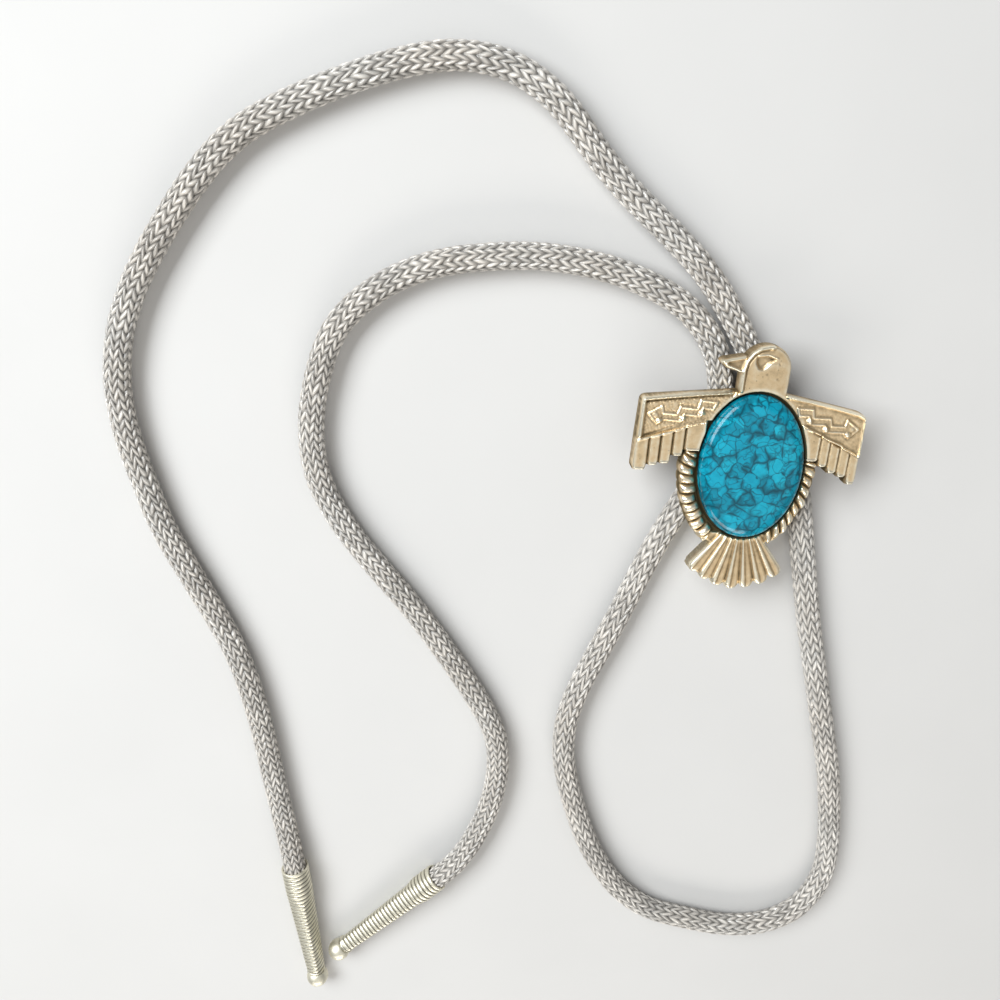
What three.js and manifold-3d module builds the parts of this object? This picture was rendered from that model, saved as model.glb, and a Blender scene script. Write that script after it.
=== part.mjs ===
// Bolo tie: a cast bird slide with an oval stone, worn on one braided cord with two ribbed tips.
// Millimetres, +Z up. It lies on a surface at z = 0 with the bird's head towards +Y, and the
// origin is under the middle of the slide.
import * as THREE from 'three';
import { mergeVertices } from 'three/addons/utils/BufferGeometryUtils.js';
import Module from 'manifold-3d';

const wasm = await Module();
wasm.setup();

// Cord and the clip that holds it behind the casting
const CORD_DIAMETER = 6.0;
const CORD_SIDES = 10;
const SEAT_GAP = 0.3;
const CLIP_PLATE = 0.9;
const CLIP_LENGTH = 5.0;
const CLIP_WALL = 1.2;
const CHANNEL_WIDTH = 9.6;
const CHANNEL_OFFSET = 7.45;
const CLIP_CENTRE = [1.76, 8.34];
const CLIP_TURN = THREE.MathUtils.degToRad(13.3);

// Casting heights, measured up from its flat back
const CAST_BACK = CLIP_PLATE + CORD_DIAMETER + 2 * SEAT_GAP;
const WEB = 2.5;
const FIELD = 3.1;
const FEATHER = 3.5;
const ARROW_TOP = 3.7;
const RIDGE = 3.8;
const RIM = 3.9;
const POCKET_FLOOR = 1.5;
const CUT_TOP = 5.0;
const MERGE_DISTANCE = 1e-4;

// The bird is drawn about its body axis, which lies a little to the right of the origin
const BODY_AT = [1.15, -0.3];
const BODY = { x: 0.1, y: 1.2, inner: [13.4, 18.5], outer: [15.1, 20.8], shoulder: 11.0 };
const BEYOND = 30.0;
const OVAL_SEGMENTS = 24;
const ARC_SEGMENTS = 8;
const STONE = { x: 0.55, y: 1.2, axes: [11.95, 17.0], turn: 2.75, gap: 0.5 };
const DOME = { foot: 0.3, chamfer: 0.03, wall: 0.9, height: 4.2, rings: 7, segments: 36 };

// Wings: u is the distance outward from the body axis. Feathers run from the outer one inward,
// between neighbouring edges, and each stops at its own end.
const WINGS = [
  {
    side: -1, root: [5.0, 18.7], tip: [26.2, 16.5], hem: [26.4, 7.0], inner: [10.5, 11.6],
    corner: 1.2, topRim: 0.6, sideRim: 0.85, arrowStretch: 1.02, arrowLift: 0.065,
    edges: [26.8, 23.4, 20.8, 18.1, 15.3, 12.6], ends: [-0.1, 1.1, 1.6, 3.5, 4.8],
  },
  {
    side: 1, root: [5.6, 18.4], tip: [25.0, 14.6], hem: [25.2, 4.5], inner: [10.9, 11.4],
    corner: 1.5, topRim: 0.6, sideRim: 0.45, arrowStretch: 1.0, arrowLift: 0.0,
    edges: [25.3, 22.8, 20.3, 18.0, 15.6, 13.0], ends: [-1.6, 0.1, 0.9, 2.3, 3.5],
  },
];
const WING_FOOT = [4.0, 12.0];
const FEATHER_GROOVE = 0.4;
const FEATHER_LIP = 0.5;
const FEATHER_CORNER = 0.9;
const DIAGONAL_RIDGE = 0.5;

// Lightning arrow on a wing: three level bars that step down outward to a barbed point
const ARROW = [
  [8.9, 15.5], [12.7, 15.5], [13.1, 13.5], [17.0, 13.5], [17.5, 11.8], [20.6, 11.8], [20.9, 13.3],
  [23.9, 11.2], [21.8, 9.1], [20.5, 10.2], [16.4, 10.2], [15.9, 11.8], [12.4, 11.8], [11.9, 13.7],
  [9.6, 13.7],
];

// Head: straight neck sides under a half round, with a rim on the beak's side
const HEAD = { x: 0.6, y: 23.7, radius: 5.5, neck: 17.0, rim: 0.8, rimEnd: 75, rimFoot: 18.6 };
const BEAK = [[-4.3, 26.5, 0], [-9.2, 25.7, 0.4], [-10.0, 25.2, 0.4], [-8.4, 23.9, 0.4], [-4.3, 22.7, 0]];
const BEAK_HOLLOW = [[-5.2, 25.5], [-7.8, 24.9], [-5.2, 23.8]];
const EYE = [[-1.9, 25.1, 0.2], [-1.9, 26.4, 0.3], [0.3, 26.9, 0.8], [2.2, 26.1, 0.2], [0.8, 25.1, 0.5],
  [-0.3, 23.9, 0.3], [-1.2, 23.9, 0.3]];
const EYE_DEPTH = 0.5;

// Tail: feathers fan out from one point, angles from straight down, the same to both sides
const TAIL = { x: 0.5, y: -9.1, feathers: 7, pitch: 10.8, start: 5.6, reach: 19.9, web: 19.1 };
const TAIL_ROOT_RADIUS = 0.62;
const TAIL_END_RADIUS = 1.82;
const TAIL_FLATNESS = 0.62;
const TAIL_SIDES = 12;
const TAIL_WEB = 2.95;
const TAIL_CREST = 3.6;
const TAIL_WEB_MARGIN = 0.45;
// Rounding of a tail feather's end: share of its radius, and distance from the end
const TAIL_END = [[1.0, 1.3], [0.86, 0.6], [0.5, 0.15], [0, 0]];

// Rope border: tilted beads along the oval below each wing, from and to an angle on the oval
const ROPE = { axes: [14.25, 20.0], bead: [0.82, 1.2, 1.0], twist: 32, count: 15 };
const BEAD_SEGMENTS = [8, 5];
const ROPE_LEFT = [172, 236];
const ROPE_RIGHT = [4, -55];

// Cord routes, centre line of each stretch in order away from the clip. The neck loop comes back.
const MEET_LEFT = { at: [-5.5, 6.6], heading: [0, 1] };
const MEET_RIGHT = { at: [9.0, 10.1], heading: [-0.447, 0.894] };
const MEET_HEIGHT = CLIP_PLATE + SEAT_GAP + CORD_DIAMETER / 2;
const MEET_STRAIGHT = 4.0;
const TIP_STRAIGHT = 8.0;
const LAY = CORD_DIAMETER / 2;
const OUTER_ROUTE = [
  [3.4, 20.0, 3.9], [-1.5, 27.5, 3.3], [-4.7, 32.6, LAY], [-12, 42, LAY], [-21, 50, LAY],
  [-30.5, 57.5, LAY], [-39, 65.5, LAY], [-47, 74.5, LAY], [-57, 80.5, LAY], [-68.5, 82, LAY],
  [-80.5, 79.5, LAY], [-91.5, 75.5, LAY], [-102.5, 70.5, LAY], [-112.5, 64.5, LAY],
  [-120.5, 56, LAY], [-127.5, 46, LAY], [-133.5, 36, LAY], [-138, 25, LAY], [-140, 13, LAY],
  [-139, 1, LAY], [-136, -10.5, LAY], [-132.5, -22, LAY], [-127.5, -32.5, LAY], [-122, -43.5, LAY],
  [-117, -54.5, LAY], [-113.5, -66, LAY], [-111, -77.5, LAY], [-109, -89.5, LAY], [-107, -101, LAY],
  [-105.4, -109.5, 3.2],
];
const INNER_ROUTE = [
  [-5.9, 18.5, 3.8], [-7.6, 25.2, 3.2], [-15.2, 34.4, LAY], [-26.5, 40, LAY], [-38, 43, LAY],
  [-50, 44, LAY], [-62, 43, LAY], [-73.5, 40.5, LAY], [-84, 35, LAY], [-92.5, 26.5, LAY],
  [-96.5, 15, LAY], [-98, 3.5, LAY], [-96.5, -8.5, LAY], [-91, -19.5, LAY], [-84, -29, LAY],
  [-76.5, -38, LAY], [-69, -48, LAY], [-62.5, -57.5, LAY], [-56, -68, LAY], [-51, -78.5, LAY],
  [-50, -90.5, LAY], [-52, -102.5, LAY], [-55.6, -112, 3.2],
];
const LOOP_ROUTE = [
  [-7.3, -3, 3.9], [-10.7, -10.3, 3.4], [-13, -15.5, 3.1], [-17.5, -26.5, LAY], [-21.5, -38, LAY],
  [-25.5, -49, LAY], [-30, -60.5, LAY], [-33, -72, LAY], [-33, -84, LAY], [-30, -95.5, LAY],
  [-26, -107, LAY], [-21, -117.5, LAY], [-14, -127.5, LAY], [-4.5, -135, LAY], [7, -138.5, LAY],
  [18.5, -141, LAY], [30.5, -140, LAY], [40, -133.5, LAY], [44.5, -122.5, LAY], [44, -110.5, LAY],
  [42, -98.5, LAY], [39.5, -87, LAY], [36, -75.5, LAY], [32.5, -64, LAY], [29, -52.5, LAY],
  [25.5, -41, LAY], [22.5, -29.5, LAY], [19.5, -18, 3.1], [16.5, -7, 3.7],
];
const OUTER_STEPS = 26;
const INNER_STEPS = 21;
const LOOP_STEPS = 28;

// Tips: a tapered sleeve with wound ribs, open at the mouth where the cord goes in, and a ball end
const TIP = { mouth: 3.65, neck: 2.55, socket: 3.35, socketDepth: 5.0, sides: 12 };
const TIP_RIBS = { count: 27, length: 33.4, depth: 0.35 };
const TIP_BALL = { centre: 37.2, radius: 2.95, neck: 2.3, rings: 6 };
const TIP_OUTER = { mouth: [-102.9, -124.3, 3.7], ball: [-97.6, -161.1, 3.0] };
const TIP_INNER = { mouth: [-65.3, -124.7, 3.7], ball: [-91.5, -151.2, 3.0] };

const FINISHES = {
  casting: { color: 0xcfc4a8, roughness: 0.35, metalness: 1.0 },
  stone: { color: 0x1e94b0, roughness: 0.18, metalness: 0.0 },
  steel: { color: 0xa3a19b, roughness: 0.45, metalness: 1.0 },
  braid: { color: 0x9c9691, roughness: 0.6, metalness: 0.0 },
  tip: { color: 0xd9d4c0, roughness: 0.3, metalness: 1.0 },
};

// A closed three.js geometry as a solid that can be joined and cut
function solidOf(geometry) {
  const bare = geometry.index ? geometry.toNonIndexed() : geometry.clone();
  bare.deleteAttribute('normal');
  bare.deleteAttribute('uv');
  const merged = mergeVertices(bare, MERGE_DISTANCE);
  const vertProperties = new Float32Array(merged.attributes.position.array);
  const triVerts = new Uint32Array(merged.index.array);
  const mesh = new wasm.Mesh({ numProp: 3, vertProperties, triVerts });
  mesh.merge();
  return new wasm.Manifold(mesh);
}

function geometryOf(solid) {
  const mesh = solid.getMesh();
  const geometry = new THREE.BufferGeometry();
  geometry.setAttribute('position', new THREE.BufferAttribute(mesh.vertProperties, 3));
  geometry.setIndex(new THREE.BufferAttribute(mesh.triVerts, 1));
  return geometry;
}

// Outline through rows of x, y and corner radius; a row without a radius is a sharp corner
function outline(rows) {
  const shape = new THREE.Shape();
  rows.forEach(([x, y, radius = 0], i) => {
    const corner = new THREE.Vector2(x, y);
    const before = new THREE.Vector2(...rows[(i + rows.length - 1) % rows.length]);
    const after = new THREE.Vector2(...rows[(i + 1) % rows.length]);
    const start = corner.clone().add(before.sub(corner).setLength(radius));
    const end = corner.clone().add(after.sub(corner).setLength(radius));
    if (i === 0) shape.moveTo(start.x, start.y);
    else shape.lineTo(start.x, start.y);
    if (radius > 0) shape.quadraticCurveTo(x, y, end.x, end.y);
  });
  shape.closePath();
  return shape;
}

function oval(x, y, [a, b], turn = 0) {
  const shape = new THREE.Shape();
  shape.absellipse(x, y, a, b, 0, 2 * Math.PI, false, THREE.MathUtils.degToRad(turn));
  return shape;
}

// A flat-topped solid on an outline between two heights
function prism(shape, bottom, top, curveSegments = 3) {
  const options = { depth: top - bottom, bevelEnabled: false, curveSegments };
  const geometry = new THREE.ExtrudeGeometry(shape, options);
  geometry.translate(0, 0, bottom);
  return solidOf(geometry);
}

function joined(solids) {
  return solids.reduce((whole, piece) => whole.add(piece));
}

// Where a wing's diagonal ridge crosses, at a distance out from the body axis
function diagonalAt({ hem, inner }, u) {
  return inner[1] + ((hem[1] - inner[1]) * (u - inner[0])) / (hem[0] - inner[0]);
}

function wingFeather(wing, i) {
  const { side, edges, ends } = wing;
  const bar = (outer, inner, end, top) => {
    const rows = [
      [side * outer, diagonalAt(wing, outer), 0],
      [side * outer, end, FEATHER_CORNER],
      [side * inner, end, FEATHER_CORNER],
      [side * inner, diagonalAt(wing, inner), 0],
    ];
    return prism(outline(rows), 0, top);
  };
  const half = FEATHER_GROOVE / 2;
  const lip = bar(edges[i], edges[i + 1], ends[i] - FEATHER_LIP, WEB);
  const vane = bar(edges[i] - half, edges[i + 1] + half, ends[i], FEATHER);
  return lip.add(vane);
}

function wingSolid(wing) {
  const { side, root, tip, hem, inner, corner, topRim, sideRim, arrowStretch, arrowLift } = wing;
  const place = ([u, y, radius = 0]) => [side * u, y, radius];
  const field = [root, [...tip, corner], hem, inner, WING_FOOT].map(place);
  const rim = [
    root, [...tip, corner], hem, [hem[0] - sideRim, hem[1]],
    [tip[0] - sideRim, tip[1] - topRim], [root[0], root[1] - topRim],
  ].map(place);
  const ridge = [
    hem, inner, [inner[0], inner[1] - DIAGONAL_RIDGE], [hem[0], hem[1] - DIAGONAL_RIDGE],
  ].map(place);
  const arrow = ARROW.map(([u, y]) => place([u * arrowStretch, y + u * arrowLift]));
  return joined([
    prism(outline(field), 0, FIELD),
    prism(outline(rim), 0, RIM),
    prism(outline(ridge), 0, RIDGE),
    prism(outline(arrow), 0, ARROW_TOP),
    ...wing.ends.map((end, i) => wingFeather(wing, i)),
  ]);
}

function headSolid() {
  const { x, y, radius, neck, rim, rimEnd, rimFoot } = HEAD;
  const face = new THREE.Shape();
  face.absarc(x, y, radius, Math.PI, 0, true);
  face.lineTo(x + radius, neck);
  face.lineTo(x - radius, neck);
  face.closePath();

  const last = THREE.MathUtils.degToRad(rimEnd);
  const border = new THREE.Shape();
  border.absarc(x, y, radius, Math.PI, last, true);
  border.absarc(x, y, radius - rim, last, Math.PI, false);
  border.lineTo(x - radius + rim, rimFoot);
  border.lineTo(x - radius, rimFoot);
  border.closePath();

  const beakEdge = outline(BEAK);
  beakEdge.holes.push(outline(BEAK_HOLLOW));
  return joined([
    prism(face, 0, FIELD, ARC_SEGMENTS),
    prism(border, 0, RIM, ARC_SEGMENTS),
    prism(outline(BEAK), 0, WEB),
    prism(beakEdge, 0, RIDGE),
  ]).subtract(prism(outline(EYE), FIELD - EYE_DEPTH, CUT_TOP));
}

// A tail feather is a rounded club, flattened and laid with its crest level
function tailFeather() {
  const { start, reach } = TAIL;
  const length = reach - start;
  const end = TAIL_END.map(([share, distance]) => [TAIL_END_RADIUS * share, length - distance]);
  const profile = [[0, 0], [TAIL_ROOT_RADIUS, 0], ...end];
  const club = new THREE.LatheGeometry(profile.map((point) => new THREE.Vector2(...point)), TAIL_SIDES);
  club.rotateX(Math.PI);
  club.scale(1, 1, TAIL_FLATNESS);
  return club;
}

function tailSolid() {
  const { x, y, feathers, pitch, start, reach, web } = TAIL;
  const middle = (feathers - 1) / 2;
  const spread = THREE.MathUtils.degToRad(pitch * (middle + TAIL_WEB_MARGIN));
  const fan = new THREE.Shape();
  fan.absarc(x, y, web, -Math.PI / 2 - spread, -Math.PI / 2 + spread, false);
  fan.lineTo(x, y);
  fan.closePath();

  const rise = (TAIL_END_RADIUS - TAIL_ROOT_RADIUS) * TAIL_FLATNESS;
  const slope = Math.atan2(rise, reach - start);
  const clubs = [];
  for (let i = 0; i < feathers; i += 1) {
    const club = tailFeather();
    club.rotateX(slope);
    club.translate(0, -start, TAIL_CREST - TAIL_ROOT_RADIUS * TAIL_FLATNESS);
    club.rotateZ(THREE.MathUtils.degToRad((i - middle) * pitch));
    club.translate(x, y, 0);
    clubs.push(solidOf(club));
  }
  return joined([prism(fan, 0, TAIL_WEB, ARC_SEGMENTS), ...clubs]);
}

function ropeSolid([first, last]) {
  const [a, b] = ROPE.axes;
  const beads = [];
  for (let i = 0; i < ROPE.count; i += 1) {
    const angle = THREE.MathUtils.degToRad(first + ((last - first) * i) / (ROPE.count - 1));
    const tangent = Math.atan2(b * Math.cos(angle), -a * Math.sin(angle));
    const bead = new THREE.SphereGeometry(1, ...BEAD_SEGMENTS);
    bead.scale(...ROPE.bead);
    bead.rotateZ(tangent + THREE.MathUtils.degToRad(ROPE.twist));
    bead.translate(BODY.x + a * Math.cos(angle), BODY.y + b * Math.sin(angle), RIM - ROPE.bead[2]);
    beads.push(solidOf(bead));
  }
  return joined(beads);
}

// The oval body: a ledge round the stone, wider below the shoulders where the rope lies on it
function bodySolid() {
  const low = [[-BEYOND, BODY.shoulder], [-BEYOND, -BEYOND], [BEYOND, -BEYOND], [BEYOND, BODY.shoulder]];
  const ledge = prism(oval(BODY.x, BODY.y, BODY.outer), 0, WEB, OVAL_SEGMENTS);
  return joined([
    prism(oval(BODY.x, BODY.y, BODY.inner), 0, FIELD, OVAL_SEGMENTS),
    ledge.intersect(prism(outline(low), 0, WEB)),
    ropeSolid(ROPE_LEFT),
    ropeSolid(ROPE_RIGHT),
  ]);
}

function castingGeometry() {
  const axes = STONE.axes.map((axis) => axis + STONE.gap);
  const pocket = prism(oval(STONE.x, STONE.y, axes, STONE.turn), POCKET_FLOOR, CUT_TOP, OVAL_SEGMENTS);
  const bird = joined([bodySolid(), headSolid(), tailSolid(), ...WINGS.map(wingSolid)]);
  return geometryOf(bird.subtract(pocket));
}

// The stone: an upright girdle wall under a domed top, stretched to the oval
function stoneGeometry() {
  const { foot, chamfer, wall, height, rings, segments } = DOME;
  const profile = [[0, 0], [1 - chamfer, 0], [1, foot]];
  for (let i = 0; i <= rings; i += 1) {
    const angle = (i / rings) * (Math.PI / 2);
    const radius = i === rings ? 0 : Math.cos(angle);
    profile.push([radius, wall + (height - wall) * Math.sin(angle)]);
  }
  const geometry = new THREE.LatheGeometry(profile.map((point) => new THREE.Vector2(...point)), segments);
  geometry.rotateX(Math.PI / 2);
  geometry.scale(STONE.axes[0], STONE.axes[1], 1);
  geometry.rotateZ(THREE.MathUtils.degToRad(STONE.turn));
  return geometry;
}

// The clip: a flat back plate with three upright walls, so that a cord lies in each channel
function clipGeometry() {
  const near = CHANNEL_OFFSET - CHANNEL_WIDTH / 2;
  const far = CHANNEL_OFFSET + CHANNEL_WIDTH / 2;
  const edge = far + CLIP_WALL;
  const top = CAST_BACK - SEAT_GAP;
  const right = [
    [edge, 0], [edge, top], [far, top], [far, CLIP_PLATE], [near, CLIP_PLATE], [near, top],
  ];
  const left = right.map(([x, z]) => [-x, z]).reverse();
  const options = { depth: CLIP_LENGTH, bevelEnabled: false };
  const geometry = new THREE.ExtrudeGeometry(outline([...right, ...left]), options);
  geometry.rotateX(Math.PI / 2);
  geometry.translate(0, CLIP_LENGTH / 2, 0);
  return geometry;
}

// Two points of a cord on one side of a place where two stretches meet, nearest first
function meetEnd({ at, heading }, way) {
  return [SEAT_GAP / 2, MEET_STRAIGHT].map((distance) => [
    at[0] + way * distance * heading[0], at[1] + way * distance * heading[1], MEET_HEIGHT,
  ]);
}

// Two points of a cord on a tip's axis: just outside the mouth, and near the foot of the socket
function tipEnd({ mouth, ball }) {
  const from = new THREE.Vector3(...mouth);
  const axis = new THREE.Vector3(...ball).sub(from).normalize();
  return [-TIP_STRAIGHT, TIP.socketDepth - SEAT_GAP].map((distance) =>
    from.clone().addScaledVector(axis, distance).toArray());
}

function cordGeometry(route, steps) {
  const section = new THREE.Shape();
  for (let i = 0; i < CORD_SIDES; i += 1) {
    const angle = (2 * Math.PI * i) / CORD_SIDES;
    const point = [Math.cos(angle), Math.sin(angle)].map((value) => (value * CORD_DIAMETER) / 2);
    if (i === 0) section.moveTo(...point);
    else section.lineTo(...point);
  }
  section.closePath();
  const path = new THREE.CatmullRomCurve3(route.map((point) => new THREE.Vector3(...point)));
  const options = { steps, extrudePath: path, bevelEnabled: false };
  return new THREE.ExtrudeGeometry(section, options);
}

// A tip turned about its own axis, from its mouth at zero to the end of its ball
function tipGeometry() {
  const { mouth, neck, socket, socketDepth, sides } = TIP;
  const { count, length, depth } = TIP_RIBS;
  const profile = [[0, socketDepth], [socket, socketDepth], [socket, 0]];
  for (let i = 0; i <= 2 * count; i += 1) {
    const share = i / (2 * count);
    const groove = i % 2 === 1 ? depth : 0;
    profile.push([mouth + (neck - mouth) * share - groove, length * share]);
  }
  const first = Math.acos(-TIP_BALL.neck / TIP_BALL.radius) - Math.PI / 2;
  for (let i = 0; i <= TIP_BALL.rings; i += 1) {
    const angle = -first + ((Math.PI / 2 + first) * i) / TIP_BALL.rings;
    const radius = i === TIP_BALL.rings ? 0 : TIP_BALL.radius * Math.cos(angle);
    profile.push([radius, TIP_BALL.centre + TIP_BALL.radius * Math.sin(angle)]);
  }
  return new THREE.LatheGeometry(profile.map((point) => new THREE.Vector2(...point)), sides);
}

function part(name, geometry, finish) {
  const mesh = new THREE.Mesh(geometry, new THREE.MeshStandardMaterial(FINISHES[finish]));
  mesh.name = name;
  return mesh;
}

function tip(name, { mouth, ball }) {
  const mesh = part(name, tipGeometry(), 'tip');
  const from = new THREE.Vector3(...mouth);
  const axis = new THREE.Vector3(...ball).sub(from).normalize();
  mesh.quaternion.setFromUnitVectors(new THREE.Vector3(0, 1, 0), axis);
  mesh.position.copy(from);
  return mesh;
}

const casting = part('bird_casting', castingGeometry(), 'casting');
casting.position.set(...BODY_AT, CAST_BACK);

const stone = part('turquoise_cabochon', stoneGeometry(), 'stone');
stone.position.set(BODY_AT[0] + STONE.x, BODY_AT[1] + STONE.y, CAST_BACK + POCKET_FLOOR + SEAT_GAP);

const clip = part('cord_clip', clipGeometry(), 'steel');
clip.position.set(...CLIP_CENTRE, 0);
clip.rotation.z = CLIP_TURN;

const outerPath = [...meetEnd(MEET_RIGHT, 1), ...OUTER_ROUTE, ...tipEnd(TIP_OUTER)];
const innerPath = [...meetEnd(MEET_LEFT, 1), ...INNER_ROUTE, ...tipEnd(TIP_INNER)];
const loopPath = [...meetEnd(MEET_LEFT, -1), ...LOOP_ROUTE, ...meetEnd(MEET_RIGHT, -1).reverse()];

const bolo = new THREE.Group();
bolo.add(
  casting,
  stone,
  clip,
  part('cord_outer_run', cordGeometry(outerPath, OUTER_STEPS), 'braid'),
  part('cord_inner_run', cordGeometry(innerPath, INNER_STEPS), 'braid'),
  part('cord_neck_loop', cordGeometry(loopPath, LOOP_STEPS), 'braid'),
  tip('tip_outer', TIP_OUTER),
  tip('tip_inner', TIP_INNER),
);

export default bolo;
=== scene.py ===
"""Bolo tie: a cast bird slide with an oval blue stone on one grey braided cord with two wound tips.

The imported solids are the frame. Each cord, tip, the casting and the stone is worked out here as a
surface in millimetres, in the same place as its solid, and gets a finish of its own.
"""
import math

import bmesh
import bpy
import numpy as np
from bpy.props import FloatProperty, FloatVectorProperty, IntProperty, PointerProperty
from bpy.types import Operator, Panel, PropertyGroup
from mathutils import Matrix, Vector


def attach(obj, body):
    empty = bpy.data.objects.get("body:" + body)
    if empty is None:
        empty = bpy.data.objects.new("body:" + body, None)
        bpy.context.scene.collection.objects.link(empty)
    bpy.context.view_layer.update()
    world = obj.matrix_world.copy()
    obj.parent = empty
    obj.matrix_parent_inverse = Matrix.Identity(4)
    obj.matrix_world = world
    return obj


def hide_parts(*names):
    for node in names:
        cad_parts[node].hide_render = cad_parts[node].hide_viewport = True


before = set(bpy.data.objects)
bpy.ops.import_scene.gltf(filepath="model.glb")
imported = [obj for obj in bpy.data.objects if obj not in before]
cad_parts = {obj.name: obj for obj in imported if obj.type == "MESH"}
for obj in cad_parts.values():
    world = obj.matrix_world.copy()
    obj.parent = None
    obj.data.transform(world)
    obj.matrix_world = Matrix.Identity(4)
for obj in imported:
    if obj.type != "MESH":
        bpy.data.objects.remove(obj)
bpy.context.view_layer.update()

bl_info = {
    "name": "Bolo tie with a bird slide",
    "version": (1, 0, 0),
    "blender": (4, 5, 0),
    "location": "3D View > Sidebar > Bolo tie",
    "description": "Builds the braided cord, wound tips, cast bird and stone of a bolo tie",
    "category": "Object",
}

MM = 0.001
BODY_NAME = "root"

# Stage in metres: each light's place, size and colour, and the camera's place, and its turn in degrees
FLOOR_HALF = 2.0
LIGHTS = [
    ("side_light", (-0.62, 0.36, 0.62), (0.8, 0.45), (0.94, 0.975, 1.0)),
    ("top_light", (0.25, -0.32, 0.85), (1.1, 1.1), (1.0, 0.96, 0.89)),
    ("front_light", (-0.05, -0.8, 0.4), (0.7, 0.25), (1.0, 0.97, 0.92)),
]
LIGHTS_AIM = (-0.03, -0.02, 0.0)
ROOM_COLOUR = (0.96, 0.98, 1.0, 1.0)
SENSOR_WIDTH = 36.0
CAMERA_PLACE = (-0.06984, 0.06741, 0.21004)
CAMERA_TURN = (-21.2303, -2.9670, 3.5611)
CAMERA_NEAR = 0.01

# Cord routes in millimetres, away from the clip; a point without a height is one radius above the ground.
# A free run goes on into its tip, along the tip's axis.
CORD_RADIUS = 3.0
MEET_HEIGHT = 4.2
MEET_STEPS = (0.15, 4.0)
MEET_LEFT = ((-5.5, 6.6), (0.0, 1.0))
MEET_RIGHT = ((9.0, 10.1), (-0.447, 0.894))
OUTER_RUN = [
    (3.4, 20, 3.9), (-1.5, 27.5, 3.3), (-4.7, 32.6), (-12, 42), (-21, 50), (-30.5, 57.5), (-39, 65.5),
    (-47, 74.5), (-57, 80.5), (-68.5, 82), (-80.5, 79.5), (-91.5, 75.5), (-102.5, 70.5), (-112.5, 64.5),
    (-120.5, 56), (-127.5, 46), (-133.5, 36), (-138, 25), (-140, 13), (-139, 1), (-136, -10.5),
    (-132.5, -22), (-127.5, -32.5), (-122, -43.5), (-117, -54.5), (-113.5, -66), (-111, -77.5),
    (-109, -89.5), (-107, -101), (-105.4, -109.5, 3.2),
]
INNER_RUN = [
    (-5.9, 18.5, 3.8), (-7.6, 25.2, 3.2), (-15.2, 34.4), (-26.5, 40), (-38, 43), (-50, 44), (-62, 43),
    (-73.5, 40.5), (-84, 35), (-92.5, 26.5), (-96.5, 15), (-98, 3.5), (-96.5, -8.5), (-91, -19.5),
    (-84, -29), (-76.5, -38), (-69, -48), (-62.5, -57.5), (-56, -68), (-51, -78.5), (-50, -90.5),
    (-52, -102.5), (-55.6, -112, 3.2),
]
NECK_LOOP = [
    (-7.3, -3, 3.9), (-10.7, -10.3, 3.4), (-13, -15.5, 3.1), (-17.5, -26.5), (-21.5, -38), (-25.5, -49),
    (-30, -60.5), (-33, -72), (-33, -84), (-30, -95.5), (-26, -107), (-21, -117.5), (-14, -127.5),
    (-4.5, -135), (7, -138.5), (18.5, -141), (30.5, -140), (40, -133.5), (44.5, -122.5), (44, -110.5),
    (42, -98.5), (39.5, -87), (36, -75.5), (32.5, -64), (29, -52.5), (25.5, -41), (22.5, -29.5),
    (19.5, -18, 3.1), (16.5, -7, 3.7),
]
# A route: points on each stretch, then spacing, points each way and rounds of the easing
ROUTE_POINTS = 40
ROUTE_SPACING = 0.3
ROUTE_EASING = 13
ROUTE_ROUNDS = 2
POINTS_PER_COLUMN = 4
RINGS_PER_REPEAT = 8
# A stitch: the repeats its row climbs across one column, its half width in repeats, its half length in
# columns, and the power of its ends. The last number keeps apart the numbers of stitches in two columns.
STITCH_SLOPE = 0.72
STITCH_HALF_WIDTH = 0.53
STITCH_HALF_LENGTH = 0.64
STITCH_BLUNTNESS = 3.0
STITCH_NUMBERS = 37.0
# The braid's finish: share of the height that its colour follows as painted shade and highlight, filaments
# across a stitch, the distance between the filaments of two stitches, and how much they and the gaps count in
# the bump
BRAID_SHARE = 0.65
FILAMENTS = 4.5
FILAMENT_STEP = 3.7
FILAMENT_BUMP = 0.25
GAP_BUMP = -0.25
# The unevenness of the braid: size, waves round the cord and turn for each repeat
ROW_WANDER = [(0.09, 3, 0.8), (0.07, 5, -1.7)]
COLUMN_WANDER = [(0.10, 2, 1.3), (0.07, 4, -0.6)]

# Tips: the middle of the mouth, a point further along the axis, and how far from the mouth the sleeve starts
TIP_OUTER = ((-102.9, -124.3, 3.7), (-97.6, -161.1, 3.0), -3.4)
TIP_INNER = ((-65.3, -124.7, 3.7), (-91.5, -151.2, 3.0), -0.8)
# Where along the tip's axis the last two points of a cord lie
TIP_ENTRY = (-8.0, 4.7)
TIP_AROUND = 48
# The wound sleeve has four soft edges: the power that makes them, the angle of the first from the level,
# and the length over which they rise
TIP_SQUARENESS = 1.36
TIP_EDGE_ANGLE = 72.0
TIP_EDGE_RISE = 4.0
SOCKET_DEPTH = 5.0
SOCKET_RADIUS = 3.03
SOCKET_TO = 1.0
MOUTH_RADIUS = 3.65
MOUTH_LENGTH = 0.6
MOUTH_ROWS = 9
NECK_RADIUS = 2.55
WOUND_TO = 34.4
WIND_FADE = 0.4
ROWS_PER_WIND = 12
BALL_CENTRE = 37.2
BALL_RADIUS = 3.0
BALL_NECK = 2.15
BALL_ROWS = 22
# The last angles in radians of the mouth's roll and of the ball
ROLL_END = 0.1
BALL_END = 0.12
# The neck: radius beyond the ball's neck, distance past the sleeve, and brightness, a painted shade
TIP_NECK = [(0.05, 0.25, 0.6), (-0.05, 0.5, 0.35), (-0.05, 0.8, 0.5)]

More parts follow.
